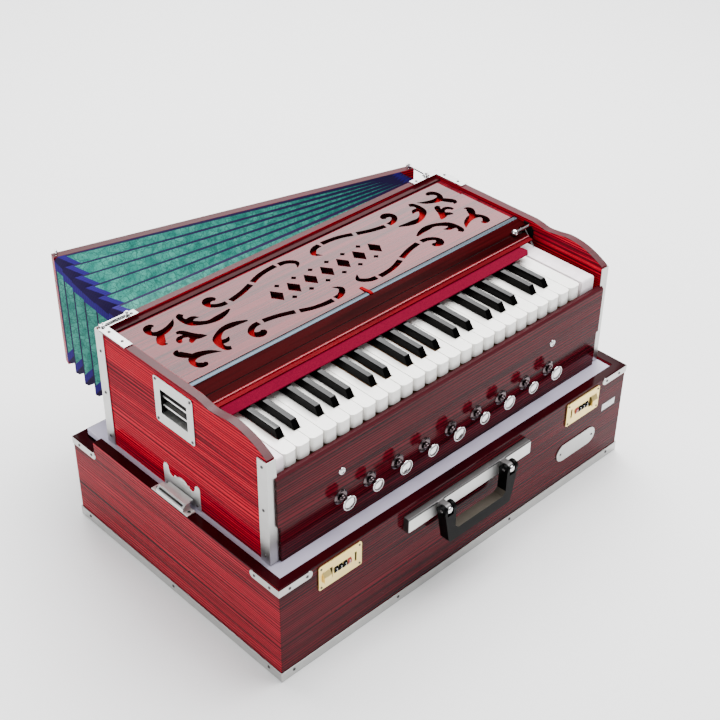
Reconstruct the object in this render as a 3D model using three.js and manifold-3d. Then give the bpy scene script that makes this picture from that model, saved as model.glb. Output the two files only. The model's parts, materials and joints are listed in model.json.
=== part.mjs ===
// Suitcase harmonium: a carrying case, and the hand-pumped instrument raised on its platform.
// Millimetres, +Z up, +X to the player's right, the player sits at -Y.
// Every driving size is a named value; everything else follows from those values.

import * as THREE from 'three';
import { mergeVertices } from 'three/addons/utils/BufferGeometryUtils.js';
import Module from 'manifold-3d';

const wasm = await Module();
wasm.setup();

// Shared clearances
const fitGap = 0.3;
const overrun = 4;
const mergeDistance = 0.0001;

// Keyboard: the octave sets the size of the whole instrument
const keys = {
  whiteCount: 25,
  pitch: 21.7,
  slit: 0.9,
  visibleLength: 87,
  length: 216,
  stickHeight: 14,
  frontHeight: 20,
  frontDepth: 9,
  noseRadius: 6,
  blackWidth: 10.4,
  blackTopWidth: 8.6,
  blackRise: 11.2,
  blackSetback: 26.4,
  blackSlope: 7,
  blackCapLength: 78,
  balanceInset: 4,
  bedDrop: 29,
  bedThickness: 6,
  bedInset: 18,
  bedShoulder: 128,
  railWidth: 8,
};
const octaveWhites = 7;
const blackCentreShares = [0.9, 2.05, 3.83, 5, 6.14];
const blackNames = ['c_sharp', 'd_sharp', 'f_sharp', 'g_sharp', 'a_sharp'];
const whiteNames = ['c', 'd', 'e', 'f', 'g', 'a', 'b'];
const playedOctave = 1;

// End blocks beside the keys, and the room that the keyboard shifts into
const leftBlockWidth = 17;
const rightBlockWidth = 26;
const leftBlockGap = 0.6;
const rightBlockGap = 3.7;
const shiftRoom = 9.9;
const blockLength = 134;
const blockEdge = 2;

// Instrument body
const body = {
  height: 181.7,
  cheekThickness: 12,
  keyTopDrop: 31,
  cheekTipDrop: 20,
  boardProud: 3.5,
  boardThickness: 8,
  boardTopDrop: 50,
  boardEdge: 3,
  boardLipHeight: 75,
  boardLipOverlap: 3.8,
  boardLipThickness: 3.2,
  boardGap: 1.5,
  backWallThickness: 10,
  rearRailDepth: 10.5,
  rearRailHeight: 16,
  rearRailDrop: 3,
};

// Height of the cheek's top edge, from its front end: share of its depth, share of the tip's drop
const cheekTopShares = [
  [0, 1], [0.03, 0.72], [0.108, 0.2], [0.2, 0], [0.26, 0.13], [0.324, 0.225], [0.365, 0.09], [0.4, 0],
];

// Case around it
const wall = 14;
const caseHeight = 158;
const caseFloor = 9;
const leftRoom = 7.5;
const rightRoom = 2.5;
const stopRoom = 22.5;
const rearRoom = 2;
const rearRimDrop = 17;
const rearRimLength = 50;
const baseTrim = { height: 15, thickness: 1.2 };
const strap = { length: 53, height: 11.5, thickness: 1.2, topDrop: 1 };
const platform = { thickness: 10, drop: 4, sideGap: 0.8 };

// Aluminium corner posts
const post = { thickness: 1.2, sideWidth: 17.4, frontWidth: 14.5, frontDrop: 22, backDrop: 0.6 };

// Cover: sloping rail, bright strip, pierced panel, and the felt over the key tails
const rail = {
  depth: 42.5,
  topDrop: 5.2,
  footRise: 1.6,
  ledgeDepth: 6,
  ledgeRise: 0.8,
  beadDepth: 3.5,
  beadRise: 2.3,
  thickness: 3,
  undersideRun: 19,
  seatDepth: 2.5,
  grooveRun: 20.9,
  grooveWidth: 1.2,
  grooveDepth: 0.7,
};
const strip = { width: 9, height: 3 };
const felt = {
  depth: 38,
  visibleDepth: 20,
  thickness: 1.6,
  clearance: 0.8,
  leftInset: 7,
  rightInset: 11,
  point: 8,
};
const panel = { depth: 146, thickness: 6, drop: 5.5 };

// Pierced scrollwork: half extents of the pattern, and in its middle a row of tall lozenges with small ones between
const scroll = {
  halfLength: 272,
  halfDepth: 62.5,
  stepsPerSpan: 3,
  lozengeCount: 7,
  lozengePitch: 30,
  lozengeLength: 20,
  lozengeWidth: 30,
  pipLength: 9,
  pipWidth: 9,
  pipOffset: 18,
};

// Saw-cut strokes of one quarter of the pattern, from its middle outwards. A station is the share of the
// half length, the share of the half depth, and the cut's width as a share of the half depth.
const quarterStrokeShares = [
  [[0.927, 0.85, 0.05], [0.938, 0.895, 0.14], [0.96, 0.875, 0.18], [0.974, 0.785, 0.15],
    [0.974, 0.685, 0.13], [0.96, 0.6, 0.16], [0.931, 0.55, 0.2], [0.893, 0.585, 0.16],
    [0.859, 0.66, 0.12], [0.823, 0.793, 0.01]],
  [[0.94, 0.533, 0.14], [0.962, 0.417, 0.18], [0.98, 0.283, 0.19], [0.981, 0.207, 0.14],
    [0.966, 0.15, 0.02]],
  [[0.771, 0.817, 0.12], [0.788, 0.783, 0.15], [0.797, 0.683, 0.13], [0.793, 0.533, 0.16],
    [0.779, 0.4, 0.19], [0.749, 0.283, 0.15], [0.711, 0.2, 0.14], [0.665, 0.193, 0.18],
    [0.619, 0.227, 0.14], [0.573, 0.293, 0.05]],
  [[0.779, 0.533, 0.16], [0.749, 0.55, 0.13], [0.723, 0.48, 0.01]],
  [[0.573, 0.76, 0.08], [0.581, 0.827, 0.17], [0.604, 0.86, 0.2], [0.625, 0.785, 0.18],
    [0.627, 0.683, 0.14], [0.608, 0.59, 0.14], [0.581, 0.533, 0.14], [0.549, 0.52, 0.14]],
  [[0.524, 0.52, 0.145], [0.444, 0.59, 0.14], [0.36, 0.72, 0.145]],
  [[0.34, 0.76, 0.145], [0.284, 0.857, 0.135], [0.223, 0.913, 0.135], [0.158, 0.933, 0.145]],
  [[0.139, 0.917, 0.15], [0.101, 0.893, 0.145], [0.069, 0.793, 0.145], [0.059, 0.7, 0.12],
    [0.086, 0.543, 0.01]],
];
const leafStrokeShares = [
  [[0.887, 0.333, 0.08], [0.869, 0.307, 0.14], [0.854, 0.2, 0.15], [0.848, 0.1, 0.18],
    [0.836, -0.017, 0.21], [0.81, -0.1, 0.13], [0.789, -0.15, 0.01]],
  [[0.916, -0.007, 0.07], [0.915, 0.067, 0.12], [0.901, 0.14, 0.13], [0.882, 0.15, 0.11],
    [0.855, 0.1, 0.12]],
  [[0.88, -0.16, 0.04], [0.872, -0.1, 0.12], [0.851, -0.04, 0.15], [0.836, -0.033, 0.13]],
];

// Stops on the front board
const stops = {
  count: 9,
  pitch: 49.2,
  height: 46,
  offset: -2,
  largeRadius: 11,
  smallRadius: 9.6,
  discThickness: 3,
  reach: 18,
  neckRadius: 3,
  collarRadius: 5.2,
  collarThickness: 2.4,
  rosetteRadius: 11,
  rosetteThickness: 2.2,
  stemRadius: 2.6,
  holeClearance: 0.3,
  tail: 22,
  sides: 16,
};

// Wind chest inside, with two air ports to the bellows
const chest = { frontRoom: 30, rearRoom: 4, wall: 9, portSpacing: 240, portWidth: 90, portHeight: 40 };

// Recessed grips in both cheeks
const grip = {
  width: 77,
  height: 70,
  topDrop: 8,
  setback: 135.7,
  flange: 1.2,
  corner: 4,
  openingWidth: 52,
  openingHeight: 37,
  openingDrop: 17,
  depth: 22,
  skin: 1.5,
  barThickness: 3,
  barDepth: 8,
  barInset: 4,
};
const gripBarShares = [0.34, 0.7];

// Side latches: strike plate on the cheek, sliding bolt in a box on the rim
const latch = {
  setback: 211.5,
  edge: 0.5,
  baseLength: 75,
  baseWidth: 13,
  baseThickness: 1.5,
  boxLength: 55,
  boxHeight: 9,
  boxWidth: 12,
  boxWall: 1.5,
  slopeRun: 5,
  boltLength: 48,
  boltThickness: 3,
  boltRoom: 4,
  strikeGap: 1.2,
};
const strike = { length: 74, height: 38, thickness: 1.2 };
const strikeOutlineShares = [
  [0, 0], [1, 0], [1, 0.86], [0.98, 0.97], [0.93, 1], [0.88, 0.94], [0.87, 0.82], [0.84, 0.68], [0.78, 0.6],
  [0.72, 0.62], [0.7, 0.72], [0.64, 0.7], [0.57, 0.78], [0.5, 0.81], [0.43, 0.78], [0.36, 0.7], [0.3, 0.72],
  [0.28, 0.62], [0.22, 0.6], [0.16, 0.68], [0.13, 0.82], [0.12, 0.94], [0.07, 1], [0.02, 0.97], [0, 0.86],
];

// Locks, oval plate and carrying handle on the case front
const lock = {
  width: 72,
  height: 38,
  thickness: 2,
  topDrop: 5,
  inset: 61.5,
  corner: 2.5,
  windowInset: 6,
  slideLength: 12,
  slideHeight: 16,
  slideProud: 4,
  slideSlope: 7,
  slideRoom: 4,
  dialStart: 25.3,
  dialPitch: 7.4,
  dialWidth: 6,
  dialRadius: 8,
  dialProud: 2,
  dialCount: 4,
  slotInset: 60,
  slotWidth: 3,
  slotHeight: 15,
};
const plate = { length: 86, height: 28.7, thickness: 1.5, inset: 59, base: 52.8 };
const handle = {
  centre: -6,
  barLength: 236,
  barHeight: 22.5,
  barProud: 10,
  barTopDrop: 13.5,
  barEdge: 1.5,
  lugSpacing: 120,
  lugWidth: 10,
  lugRadius: 6,
  axisProud: 21,
  axisDrop: 20,
  pinRadius: 2.2,
  pinClearance: 0.3,
  eyeRadius: 8,
  forkWidth: 21,
  forkGap: 0.4,
  gripWidth: 122,
  gripDrop: 38,
  gripHeight: 18,
  gripDepth: 15,
  armWidth: 12,
  corner: 6,
};

// Bellows behind the instrument, opened on its left side
const bellows = {
  openAngle: 15.7,
  leftInset: 38.5,
  rightInset: 39.5,
  boardRightRun: 19,
  folded: 27.4,
  boardThickness: 12,
  topDrop: 0.4,
  baseLift: 1.6,
  tuck: 20,
  ridgeCorner: 5,
  valleyCorner: 16,
  pinInset: 6,
};

// Turn of each fold edge, as a share of the whole opening, from the back wall to the board
const foldShares = [0, 0.13, 0.218, 0.305, 0.393, 0.48, 0.568, 0.655, 0.743, 0.83, 0.915, 1];
const hook = {
  thickness: 2.6,
  shankWidth: 2.8,
  eyeRadius: 4.2,
  pinRadius: 1.8,
  pinClearance: 0.3,
  pinRise: 5,
  pivotInset: 5,
  sideStep: 2,
};
const bracket = {
  thickness: 1.5,
  sideLength: 63,
  backLength: 60,
  sideWidth: 13,
  backWidth: 11.5,
  clip: 8,
};

// Lever with a ball knob and a stay rod at the right end of the rail
const lever = {
  knobRadius: 5.5,
  shaftRadius: 2.5,
  shaftSetback: 127,
  shaftDrop: 7.2,
  knobRun: 34,
  rodRadius: 1.1,
  rodRun: 13.5,
  rodReach: 20,
  rodFootRise: 1.8,
  clearance: 0.3,
  notchFrontRun: 4,
  notchBackRun: 8,
  plateThickness: 1.5,
  plateDepth: 19,
  plateHeight: 27.5,
  plateTopDrop: 5,
  plateClip: 8,
  plateSetback: 120,
};

// Places along X, measured from the middle of the case
const keyboardLength = keys.whiteCount * keys.pitch;
const cavityWidth = fitGap + leftBlockWidth + leftBlockGap + keyboardLength
  + rightBlockGap + rightBlockWidth + shiftRoom;
const cheekCover = fitGap + post.thickness;
const bodyWidth = cavityWidth + 2 * (body.cheekThickness + cheekCover);
const caseWidth = bodyWidth + leftRoom + rightRoom + 2 * wall;
const caseRight = caseWidth / 2;
const caseLeft = -caseRight;
const bodyLeft = caseLeft + wall + leftRoom;
const bodyRight = bodyLeft + bodyWidth;
const cheekLeft = bodyLeft + cheekCover;
const cheekRight = bodyRight - cheekCover;
const cavityLeft = cheekLeft + body.cheekThickness;
const cavityRight = cheekRight - body.cheekThickness;
const cavityCentre = (cavityLeft + cavityRight) / 2;
const keysLeft = cavityLeft + fitGap + leftBlockWidth + leftBlockGap;
const keysRight = keysLeft + keyboardLength;

// Places along Y, measured from the front face of the case
const boardFront = wall + stopRoom;
const boardBack = boardFront + body.boardThickness;
const bodyFront = boardFront + body.boardProud;
const cheekFront = bodyFront + post.thickness + fitGap;
const keyFront = boardBack + body.boardGap;
const keyBack = keyFront + keys.length;
const balanceY = keyBack - keys.balanceInset;
const feltFront = keyFront + keys.visibleLength;
const railFront = feltFront + felt.visibleDepth;
const stripFront = railFront + rail.depth;
const railBack = stripFront + strip.width + fitGap;
const panelFront = railBack + fitGap;
const panelBack = panelFront + panel.depth;
const cheekBack = panelBack + fitGap + body.rearRailDepth;
const backWallFront = cheekBack + fitGap;
const bodyBack = backWallFront + body.backWallThickness;
const boardClosedFront = bodyBack + bellows.folded + fitGap;
const boardClosedBack = boardClosedFront + bellows.boardThickness;
const caseDepth = boardClosedBack + rearRoom + wall;

// Heights above the ground
const platformTop = caseHeight - platform.drop;
const bodyBase = platformTop + fitGap;
const bodyTop = bodyBase + body.height;
const keyTop = bodyTop - body.keyTopDrop;
const keyBase = keyTop - keys.stickHeight;
const bedTop = keyTop - keys.bedDrop;
const bedBase = bedTop - keys.bedThickness;
const chestTop = bedBase - fitGap;
const feltBase = keyTop + keys.blackRise + felt.clearance;
const feltTop = feltBase + felt.thickness;
const panelTop = bodyTop - panel.drop;
const stopZ = bodyBase + stops.height;
const bellowsBase = bodyBase + bellows.baseLift;
const bellowsTop = bodyTop - bellows.topDrop;

// Upright line that the bellows board turns on: the pin that the right hook holds
const foldsLeft = bodyLeft + bellows.leftInset;
const foldsRight = bodyRight - bellows.rightInset;
const boardRight = foldsRight + bellows.boardRightRun;
const bellowsPivot = { x: boardRight - bellows.pinInset, y: boardClosedFront + bellows.boardThickness / 2 };
const openTurn = -THREE.MathUtils.degToRad(bellows.openAngle);

// Colours
const finish = (color, roughness, metalness) => new THREE.MeshStandardMaterial({ color, roughness, metalness });
const redWood = finish(0xa8202c, 0.25, 0);
const darkWood = finish(0x4a0a10, 0.2, 0);
const chrome = finish(0xd8d8d6, 0.18, 0.9);
const aluminium = finish(0xc9c7c2, 0.4, 0.85);
const brass = finish(0xe6d8a0, 0.35, 0.8);
const blackPlastic = finish(0x1b1b1c, 0.45, 0);
const ivory = finish(0xf2eee6, 0.3, 0);
const whitePaint = finish(0xe6e3ee, 0.4, 0);
const crimsonFelt = finish(0xa01c3c, 0.95, 0);
const tealPaper = finish(0x6fb8a4, 0.8, 0);
const rawWood = finish(0x9a7048, 0.7, 0);

// Geometry to solid and back
function solidOf(geometry) {
  const bare = geometry.clone();
  bare.deleteAttribute('normal');
  bare.deleteAttribute('uv');
  const merged = mergeVertices(bare, mergeDistance);
  const index = merged.index.array;
  const triangles = [];
  for (let i = 0; i < index.length; i += 3) {
    const [a, b, c] = [index[i], index[i + 1], index[i + 2]];
    if (a !== b && b !== c && c !== a) triangles.push(a, b, c);
  }
  const mesh = new wasm.Mesh({
    numProp: 3,
    vertProperties: new Float32Array(merged.attributes.position.array),
    triVerts: new Uint32Array(triangles),
  });
  return new wasm.Manifold(mesh);
}

function geometryOf(solid) {
  const mesh = solid.getMesh();
  const geometry = new THREE.BufferGeometry();
  geometry.setAttribute('position', new THREE.BufferAttribute(new Float32Array(mesh.vertProperties), 3));
  geometry.setIndex(new THREE.BufferAttribute(new Uint32Array(mesh.triVerts), 1));
  const faceted = geometry.toNonIndexed();
  faceted.computeVertexNormals();
  return faceted;
}

const joined = (solids) => solids.reduce((whole, next) => whole.add(next));
const cut = (solid, cutters) => cutters.reduce((rest, next) => rest.subtract(next), solid);

// A block between two corners, given in any order
function box(x0, x1, y0, y1, z0, z1) {
  const geometry = new THREE.BoxGeometry(Math.abs(x1 - x0), Math.abs(y1 - y0), Math.abs(z1 - z0));
  geometry.translate((x0 + x1) / 2, (y0 + y1) / 2, (z0 + z1) / 2);
  return solidOf(geometry);
}

const point = (x, y) => new THREE.Vector2(x, y);

function arc(centreX, centreY, radius, from, to, steps) {
  const points = [];
  for (let i = 0; i <= steps; i += 1) {
    const angle = from + ((to - from) * i) / steps;
    points.push(point(centreX + radius * Math.cos(angle), centreY + radius * Math.sin(angle)));
  }
  return points;
}

// A prism of an outline along x (outline in y, z), along y (outline in x, z) or along z
const prismAxes = {
  x: [new THREE.Vector3(0, 1, 0), new THREE.Vector3(0, 0, 1), new THREE.Vector3(1, 0, 0)],
  y: [new THREE.Vector3(1, 0, 0), new THREE.Vector3(0, 0, 1), new THREE.Vector3(0, -1, 0)],
  z: [new THREE.Vector3(1, 0, 0), new THREE.Vector3(0, 1, 0), new THREE.Vector3(0, 0, 1)],
};

function prismGeometry(axis, outline, from, to) {
  const [low, high] = from < to ? [from, to] : [to, from];
  const shape = new THREE.Shape(outline);
  const geometry = new THREE.ExtrudeGeometry(shape, { depth: high - low, bevelEnabled: false });
  geometry.applyMatrix4(new THREE.Matrix4().makeBasis(...prismAxes[axis]));
  if (axis === 'x') geometry.translate(low, 0, 0);
  if (axis === 'y') geometry.translate(0, high, 0);
  if (axis === 'z') geometry.translate(0, 0, low);
  return geometry;
}

const prism = (axis, outline, from, to) => solidOf(prismGeometry(axis, outline, from, to));

// A turned piece: the profile is (radius, distance along), from the near end to the far end
function turned(profile, origin, direction, sides) {
  const geometry = new THREE.LatheGeometry(profile, sides);
  const axis = direction.clone().normalize();
  geometry.applyQuaternion(new THREE.Quaternion().setFromUnitVectors(new THREE.Vector3(0, 1, 0), axis));
  geometry.translate(origin.x, origin.y, origin.z);
  return solidOf(geometry);
}

function rod(radius, from, to, sides) {
  const run = to.clone().sub(from);
  const profile = [point(0, 0), point(radius, 0), point(radius, run.length()), point(0, run.length())];
  return turned(profile, from, run, sides);
}

const at = (x, y, z) => new THREE.Vector3(x, y, z);

// An outline with rounded corners about a centre
function roundedRectangle(centreX, centreY, width, height, radius, steps) {
  const [dx, dy] = [width / 2 - radius, height / 2 - radius];
  return [
    ...arc(centreX + dx, centreY - dy, radius, -Math.PI / 2, 0, steps),
    ...arc(centreX + dx, centreY + dy, radius, 0, Math.PI / 2, steps),
    ...arc(centreX - dx, centreY + dy, radius, Math.PI / 2, Math.PI, steps),
    ...arc(centreX - dx, centreY - dy, radius, Math.PI, 1.5 * Math.PI, steps),
  ];
}

const assembly = new THREE.Group();

function addPiece(name, solid, material) {
  const mesh = new THREE.Mesh(geometryOf(solid), material);
  mesh.name = name;
  assembly.add(mesh);
}

// Case: floor, four walls and the lowered rear rim, with a corner strap near each top corner
function makeCaseBody() {
  const shell = box(caseLeft, caseRight, 0, caseDepth, 0, caseHeight);
  const hollow = box(caseLeft + wall, caseRight - wall, wall, caseDepth - wall, caseFloor, caseHeight + overrun);
  const rearRim = box(caseLeft - overrun, caseRight + overrun, caseDepth - rearRimLength, caseDepth + overrun,
    caseHeight - rearRimDrop, caseHeight + overrun);
  const rebateTop = baseTrim.thickness + fitGap;
  const rebateIn = baseTrim.height + fitGap;
  const rebate = box(caseLeft - overrun, caseRight + overrun, -overrun, caseDepth + overrun, -overrun, rebateTop)
    .subtract(box(caseLeft + rebateIn, caseRight - rebateIn, rebateIn, caseDepth - rebateIn,
      -2 * overrun, rebateTop + overrun));
  const frontStrapTop = caseHeight - strap.topDrop;
  const rearStrapTop = caseHeight - rearRimDrop - strap.topDrop;
  const straps = [];
  for (const side of [-1, 1]) {
    straps.push(cornerStrap(side, 0, -1, frontStrapTop), cornerStrap(side, caseDepth, 1, rearStrapTop));
  }
  return joined([cut(shell, [hollow, rearRim, rebate]), ...straps]);
}

// A strip's outline from a square start to a round end, both along the same line
function roundEndedStrip(start, end, middle, height) {
  const radius = height / 2;
  const direction = Math.sign(end - start);
  const nose = arc(0, 0, radius, -Math.PI / 2, Math.PI / 2, 6);
  return [
    point(start, middle - radius),
    ...nose.map((p) => point(end + direction * (p.x - radius), middle + p.y)),
    point(start, middle + radius),
  ];
}

// An L of strip metal round one upright corner of the case
function cornerStrap(side, faceY, outward, top) {
  const middle = top - strap.height / 2;
  const cornerX = side * (caseRight + strap.thickness);
  const cornerY = faceY + outward * strap.thickness;
  const frontArm = roundEndedStrip(cornerX, side * (caseRight - strap.length), middle, strap.height);
  const sideArm = roundEndedStrip(cornerY, faceY - outward * strap.length, middle, strap.height);
  return joined([
    prism('y', frontArm, faceY - outward * fitGap, cornerY),
    prism('x', sideArm, side * (caseRight - fitGap), cornerX),
  ]);
}

// Base trim: an angle section that runs round the foot of the case
function makeBaseTrim() {
  const out = baseTrim.thickness + fitGap;
  const ring = box(caseLeft - out, caseRight + out, -out, caseDepth + out, 0, baseTrim.height);
  const bodySpace = box(caseLeft - fitGap, caseRight + fitGap, -fitGap, caseDepth + fitGap,
    baseTrim.thickness, baseTrim.height + overrun);
  const inner = baseTrim.height;
  const opening = box(caseLeft + inner, caseRight - inner, inner, caseDepth - inner, -overrun, baseTrim.height);
  return cut(ring, [bodySpace, opening]);
}

// Axis of the carry handle, and the two lugs' places on it
const handleAxis = { y: -handle.axisProud, z: caseHeight - handle.axisDrop };
const lugPlaces = [-1, 1].map((side) => handle.centre + (side * handle.lugSpacing) / 2);
const handleLine = (x) => at(x, handleAxis.y, handleAxis.z);

// Handle bar across the case front, with two lugs and their cross pins
function makeHandleBar() {
  const top = caseHeight - handle.barTopDrop;
  const face = -handle.barProud - fitGap;
  const section = [
    point(-fitGap, top - handle.barHeight),
    point(face + handle.barEdge, top - handle.barHeight),
    point(face, top - handle.barHeight + handle.barEdge),
    point(face, top - handle.barEdge),
    point(face + handle.barEdge, top),
    point(-fitGap, top),
  ];
  const lug = [
    ...arc(handleAxis.y, handleAxis.z, handle.lugRadius, Math.PI / 2, 1.5 * Math.PI, 8),
    point(face + handle.barEdge, handleAxis.z - handle.lugRadius),
    point(face + handle.barEdge, handleAxis.z + handle.lugRadius),
  ];
  const bar = prism('x', section, handle.centre - handle.barLength / 2, handle.centre + handle.barLength / 2);
  const halfPin = handle.forkWidth / 2;
  return joined([
    bar,
    ...lugPlaces.map((x) => prism('x', lug, x - handle.lugWidth / 2, x + handle.lugWidth / 2)),
    ...lugPlaces.map((x) => rod(handle.pinRadius, handleLine(x - halfPin), handleLine(x + halfPin), 16)),
  ]);
}

// Carry handle: a grip on two arms that lean inwards, each arm forked round its lug
function makeCarryHandle() {
  const gripTop = handleAxis.z - handle.gripDrop;
  const gripBase = gripTop - handle.gripHeight;
  const half = handle.gripWidth / 2;
  const armOuter = (handle.lugSpacing + handle.forkWidth) / 2;
  const armInner = armOuter - handle.forkWidth;
  const halfOutline = [
    point(0, gripBase),
    ...arc(half - handle.corner, gripBase + handle.corner, handle.corner, -Math.PI / 2, 0, 5),
    point(armOuter, handleAxis.z),
    point(armInner, handleAxis.z),
    point(half - handle.armWidth, gripTop + handle.corner),
    point(half - handle.armWidth - handle.corner, gripTop),
    point(0, gripTop),
  ];
  const front = handleAxis.y - handle.gripDepth / 2;
  const halves = [-1, 1].map((side) => prism('y',
    halfOutline.map((p) => point(handle.centre + side * p.x, p.y)), front, front + handle.gripDepth));
  const halfFork = handle.forkWidth / 2;
  const eyes = lugPlaces.map((x) => rod(handle.eyeRadius,
    handleLine(x - halfFork), handleLine(x + halfFork), 20));
  const halfSlot = handle.lugWidth / 2 + handle.forkGap;
  const slotReach = handle.eyeRadius + handle.forkGap;
  const slots = lugPlaces.map((x) => box(x - halfSlot, x + halfSlot, handleAxis.y - slotReach, 0,
    handleAxis.z - slotReach, handleAxis.z + slotReach));
  const bore = handle.pinRadius + handle.pinClearance;
  const bores = lugPlaces.map((x) => rod(bore,
    handleLine(x - handle.forkWidth), handleLine(x + handle.forkWidth), 16));
  return cut(joined([...halves, ...eyes]), [...slots, ...bores]);
}

// Place on a lock, measured inwards from the end of its plate nearest the side of the case
const lockX = (side, run) => side * (caseRight - lock.inset - run);
const lockTop = caseHeight - lock.topDrop;
const lockMiddle = lockTop - lock.height / 2;
const lockFace = -fitGap - lock.thickness;

function makeLock(side) {
  const centre = lockX(side, lock.width / 2);
  const outline = roundedRectangle(centre, lockMiddle, lock.width, lock.height, lock.corner, 3);
  const windowEnd = lock.windowInset + lock.slideLength + lock.slideRoom + 2 * fitGap;
  const windowHalf = lock.slideHeight / 2 + fitGap;
  const window = box(lockX(side, lock.windowInset), lockX(side, windowEnd), -2 * lock.thickness - fitGap, 0,
    lockMiddle - windowHalf, lockMiddle + windowHalf);
  const slot = box(lockX(side, lock.slotInset), lockX(side, lock.slotInset + lock.slotWidth),
    -2 * lock.thickness - fitGap, 0, lockMiddle - lock.slotHeight / 2, lockMiddle + lock.slotHeight / 2);
  const dialAxisY = lockFace - lock.dialProud + lock.dialRadius;
  const outside = box(caseLeft, caseRight, lockFace - lock.dialProud - overrun, -fitGap, 0, caseHeight);
  const dials = [];
  for (let i = 0; i < lock.dialCount; i += 1) {
    const start = lock.dialStart + i * lock.dialPitch;
    const [near, far] = [lockX(side, start), lockX(side, start + lock.dialWidth)];
    dials.push(rod(lock.dialRadius, at(Math.min(near, far), dialAxisY, lockMiddle),
      at(Math.max(near, far), dialAxisY, lockMiddle), 20).intersect(outside));
  }
  return joined([cut(prism('y', outline, lockFace, -fitGap), [window, slot]), ...dials]);
}

// Slide of a lock: a block button whose upper half slopes back to the plate
function makeLockSlide(side) {
  const start = lock.windowInset + fitGap;
  const [low, high] = [lockMiddle - lock.slideHeight / 2, lockMiddle + lock.slideHeight / 2];
  const front = lockFace - lock.slideProud;
  const section = [
    point(-fitGap, low), point(front, low), point(front, high - lock.slideSlope), point(lockFace, high),
    point(-fitGap, high),
  ];
  return prism('x', section, lockX(side, start), lockX(side, start + lock.slideLength));
}

// Oval plate, left bare
function makeNamePlate() {
  const right = caseRight - plate.inset;
  const radius = plate.height / 2;
  const middle = plate.base + radius;
  const outline = [
    ...arc(right - radius, middle, radius, -Math.PI / 2, Math.PI / 2, 10),
    ...arc(right - plate.length + radius, middle, radius, Math.PI / 2, 1.5 * Math.PI, 10),
  ];
  return prism('y', outline, -fitGap - plate.thickness, -fitGap);
}

// Side latch: base plate and hollow box on the rim, open towards the instrument
const latchY = latch.setback;
const latchBaseTop = caseHeight + fitGap + latch.baseThickness;
const boltTop = latchBaseTop + latch.boxHeight - latch.boxWall - fitGap;
const boltBase = boltTop - latch.boltThickness;
const boxOuter = caseRight - 2 * latch.edge;
const boltTail = boxOuter - latch.boxWall - latch.boltRoom - fitGap;

function makeLatch(side) {
  const outer = side * (caseRight - latch.edge);
  const base = box(outer, outer - side * latch.baseWidth, latchY - latch.baseLength / 2,
    latchY + latch.baseLength / 2, caseHeight + fitGap, latchBaseTop);
  const boxTop = latchBaseTop + latch.boxHeight;
  const outline = [
    point(side * boxOuter, latchBaseTop),
    point(side * boxOuter, boxTop - latch.slopeRun),
    point(side * (boxOuter - latch.slopeRun), boxTop),
    point(side * (boxOuter - latch.boxWidth), boxTop),
    point(side * (boxOuter - latch.boxWidth), latchBaseTop),
  ];
  const housing = prism('y', outline, latchY - latch.boxLength / 2, latchY + latch.boxLength / 2);
  const half = latch.boltLength / 2 + fitGap;
  const cavity = box(side * (boxOuter - latch.boxWall), side * (boxOuter - latch.boxWidth - overrun),
    latchY - half, latchY + half, latchBaseTop, boltTop + fitGap);
  return base.add(housing).subtract(cavity);
}

function makeLatchBolt(side) {
  const cheekFace = side < 0 ? cheekLeft : cheekRight;
  const tip = cheekFace + side * (strike.thickness + latch.strikeGap);
  return box(tip, side * boltTail, latchY - latch.boltLength / 2, latchY + latch.boltLength / 2,
    boltBase, boltTop);
}

// Lift platform that fills the case and carries the instrument
function makePlatform() {
  const inset = wall + platform.sideGap;
  return box(caseLeft + inset, caseRight - inset, inset, caseDepth - inset,
    platformTop - platform.thickness, platformTop);
}

// Places of the side grips
const gripFront = bodyFront + grip.setback;
const gripMiddleY = gripFront + grip.width / 2;
const gripTop = bodyTop - grip.topDrop;
const gripOpeningTop = gripTop - grip.openingDrop;
const gripOpeningMiddle = gripOpeningTop - grip.openingHeight / 2;

// Cheek: shaped top edge, an opening for the grip's cup, and the strike plate low on its outer face
function makeCheek(side) {
  const [outer, inner] = side < 0 ? [cheekLeft, cavityLeft] : [cheekRight, cavityRight];
  const depth = cheekBack - cheekFront;
  const curve = new THREE.CatmullRomCurve3(cheekTopShares.map(([along, drop]) => new THREE.Vector3(
    cheekFront + along * depth, bodyTop - drop * body.cheekTipDrop, 0)));
  const topEdge = curve.getPoints(18).map((p) => point(p.x, Math.min(p.y, bodyTop)));
  const outline = [
    point(cheekFront, bodyBase), ...topEdge, point(cheekBack, bodyTop), point(cheekBack, bodyBase),
  ];
  const cupWidth = grip.openingWidth + 2 * (grip.skin + fitGap);
  const cupHeight = grip.openingHeight + 2 * (grip.skin + fitGap);
  const opening = box(outer + side * overrun, inner - side * overrun,
    gripMiddleY - cupWidth / 2, gripMiddleY + cupWidth / 2,
    gripOpeningMiddle - cupHeight / 2, gripOpeningMiddle + cupHeight / 2);
  const strikeOutline = strikeOutlineShares.map(([along, up]) => point(
    latchY - strike.length / 2 + along * strike.length, bodyBase + up * strike.height));
  const strikePlate = prism('x', strikeOutline, outer - side * fitGap, outer + side * strike.thickness);
  return prism('x', outline, outer, inner).subtract(opening).add(strikePlate);
}

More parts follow.
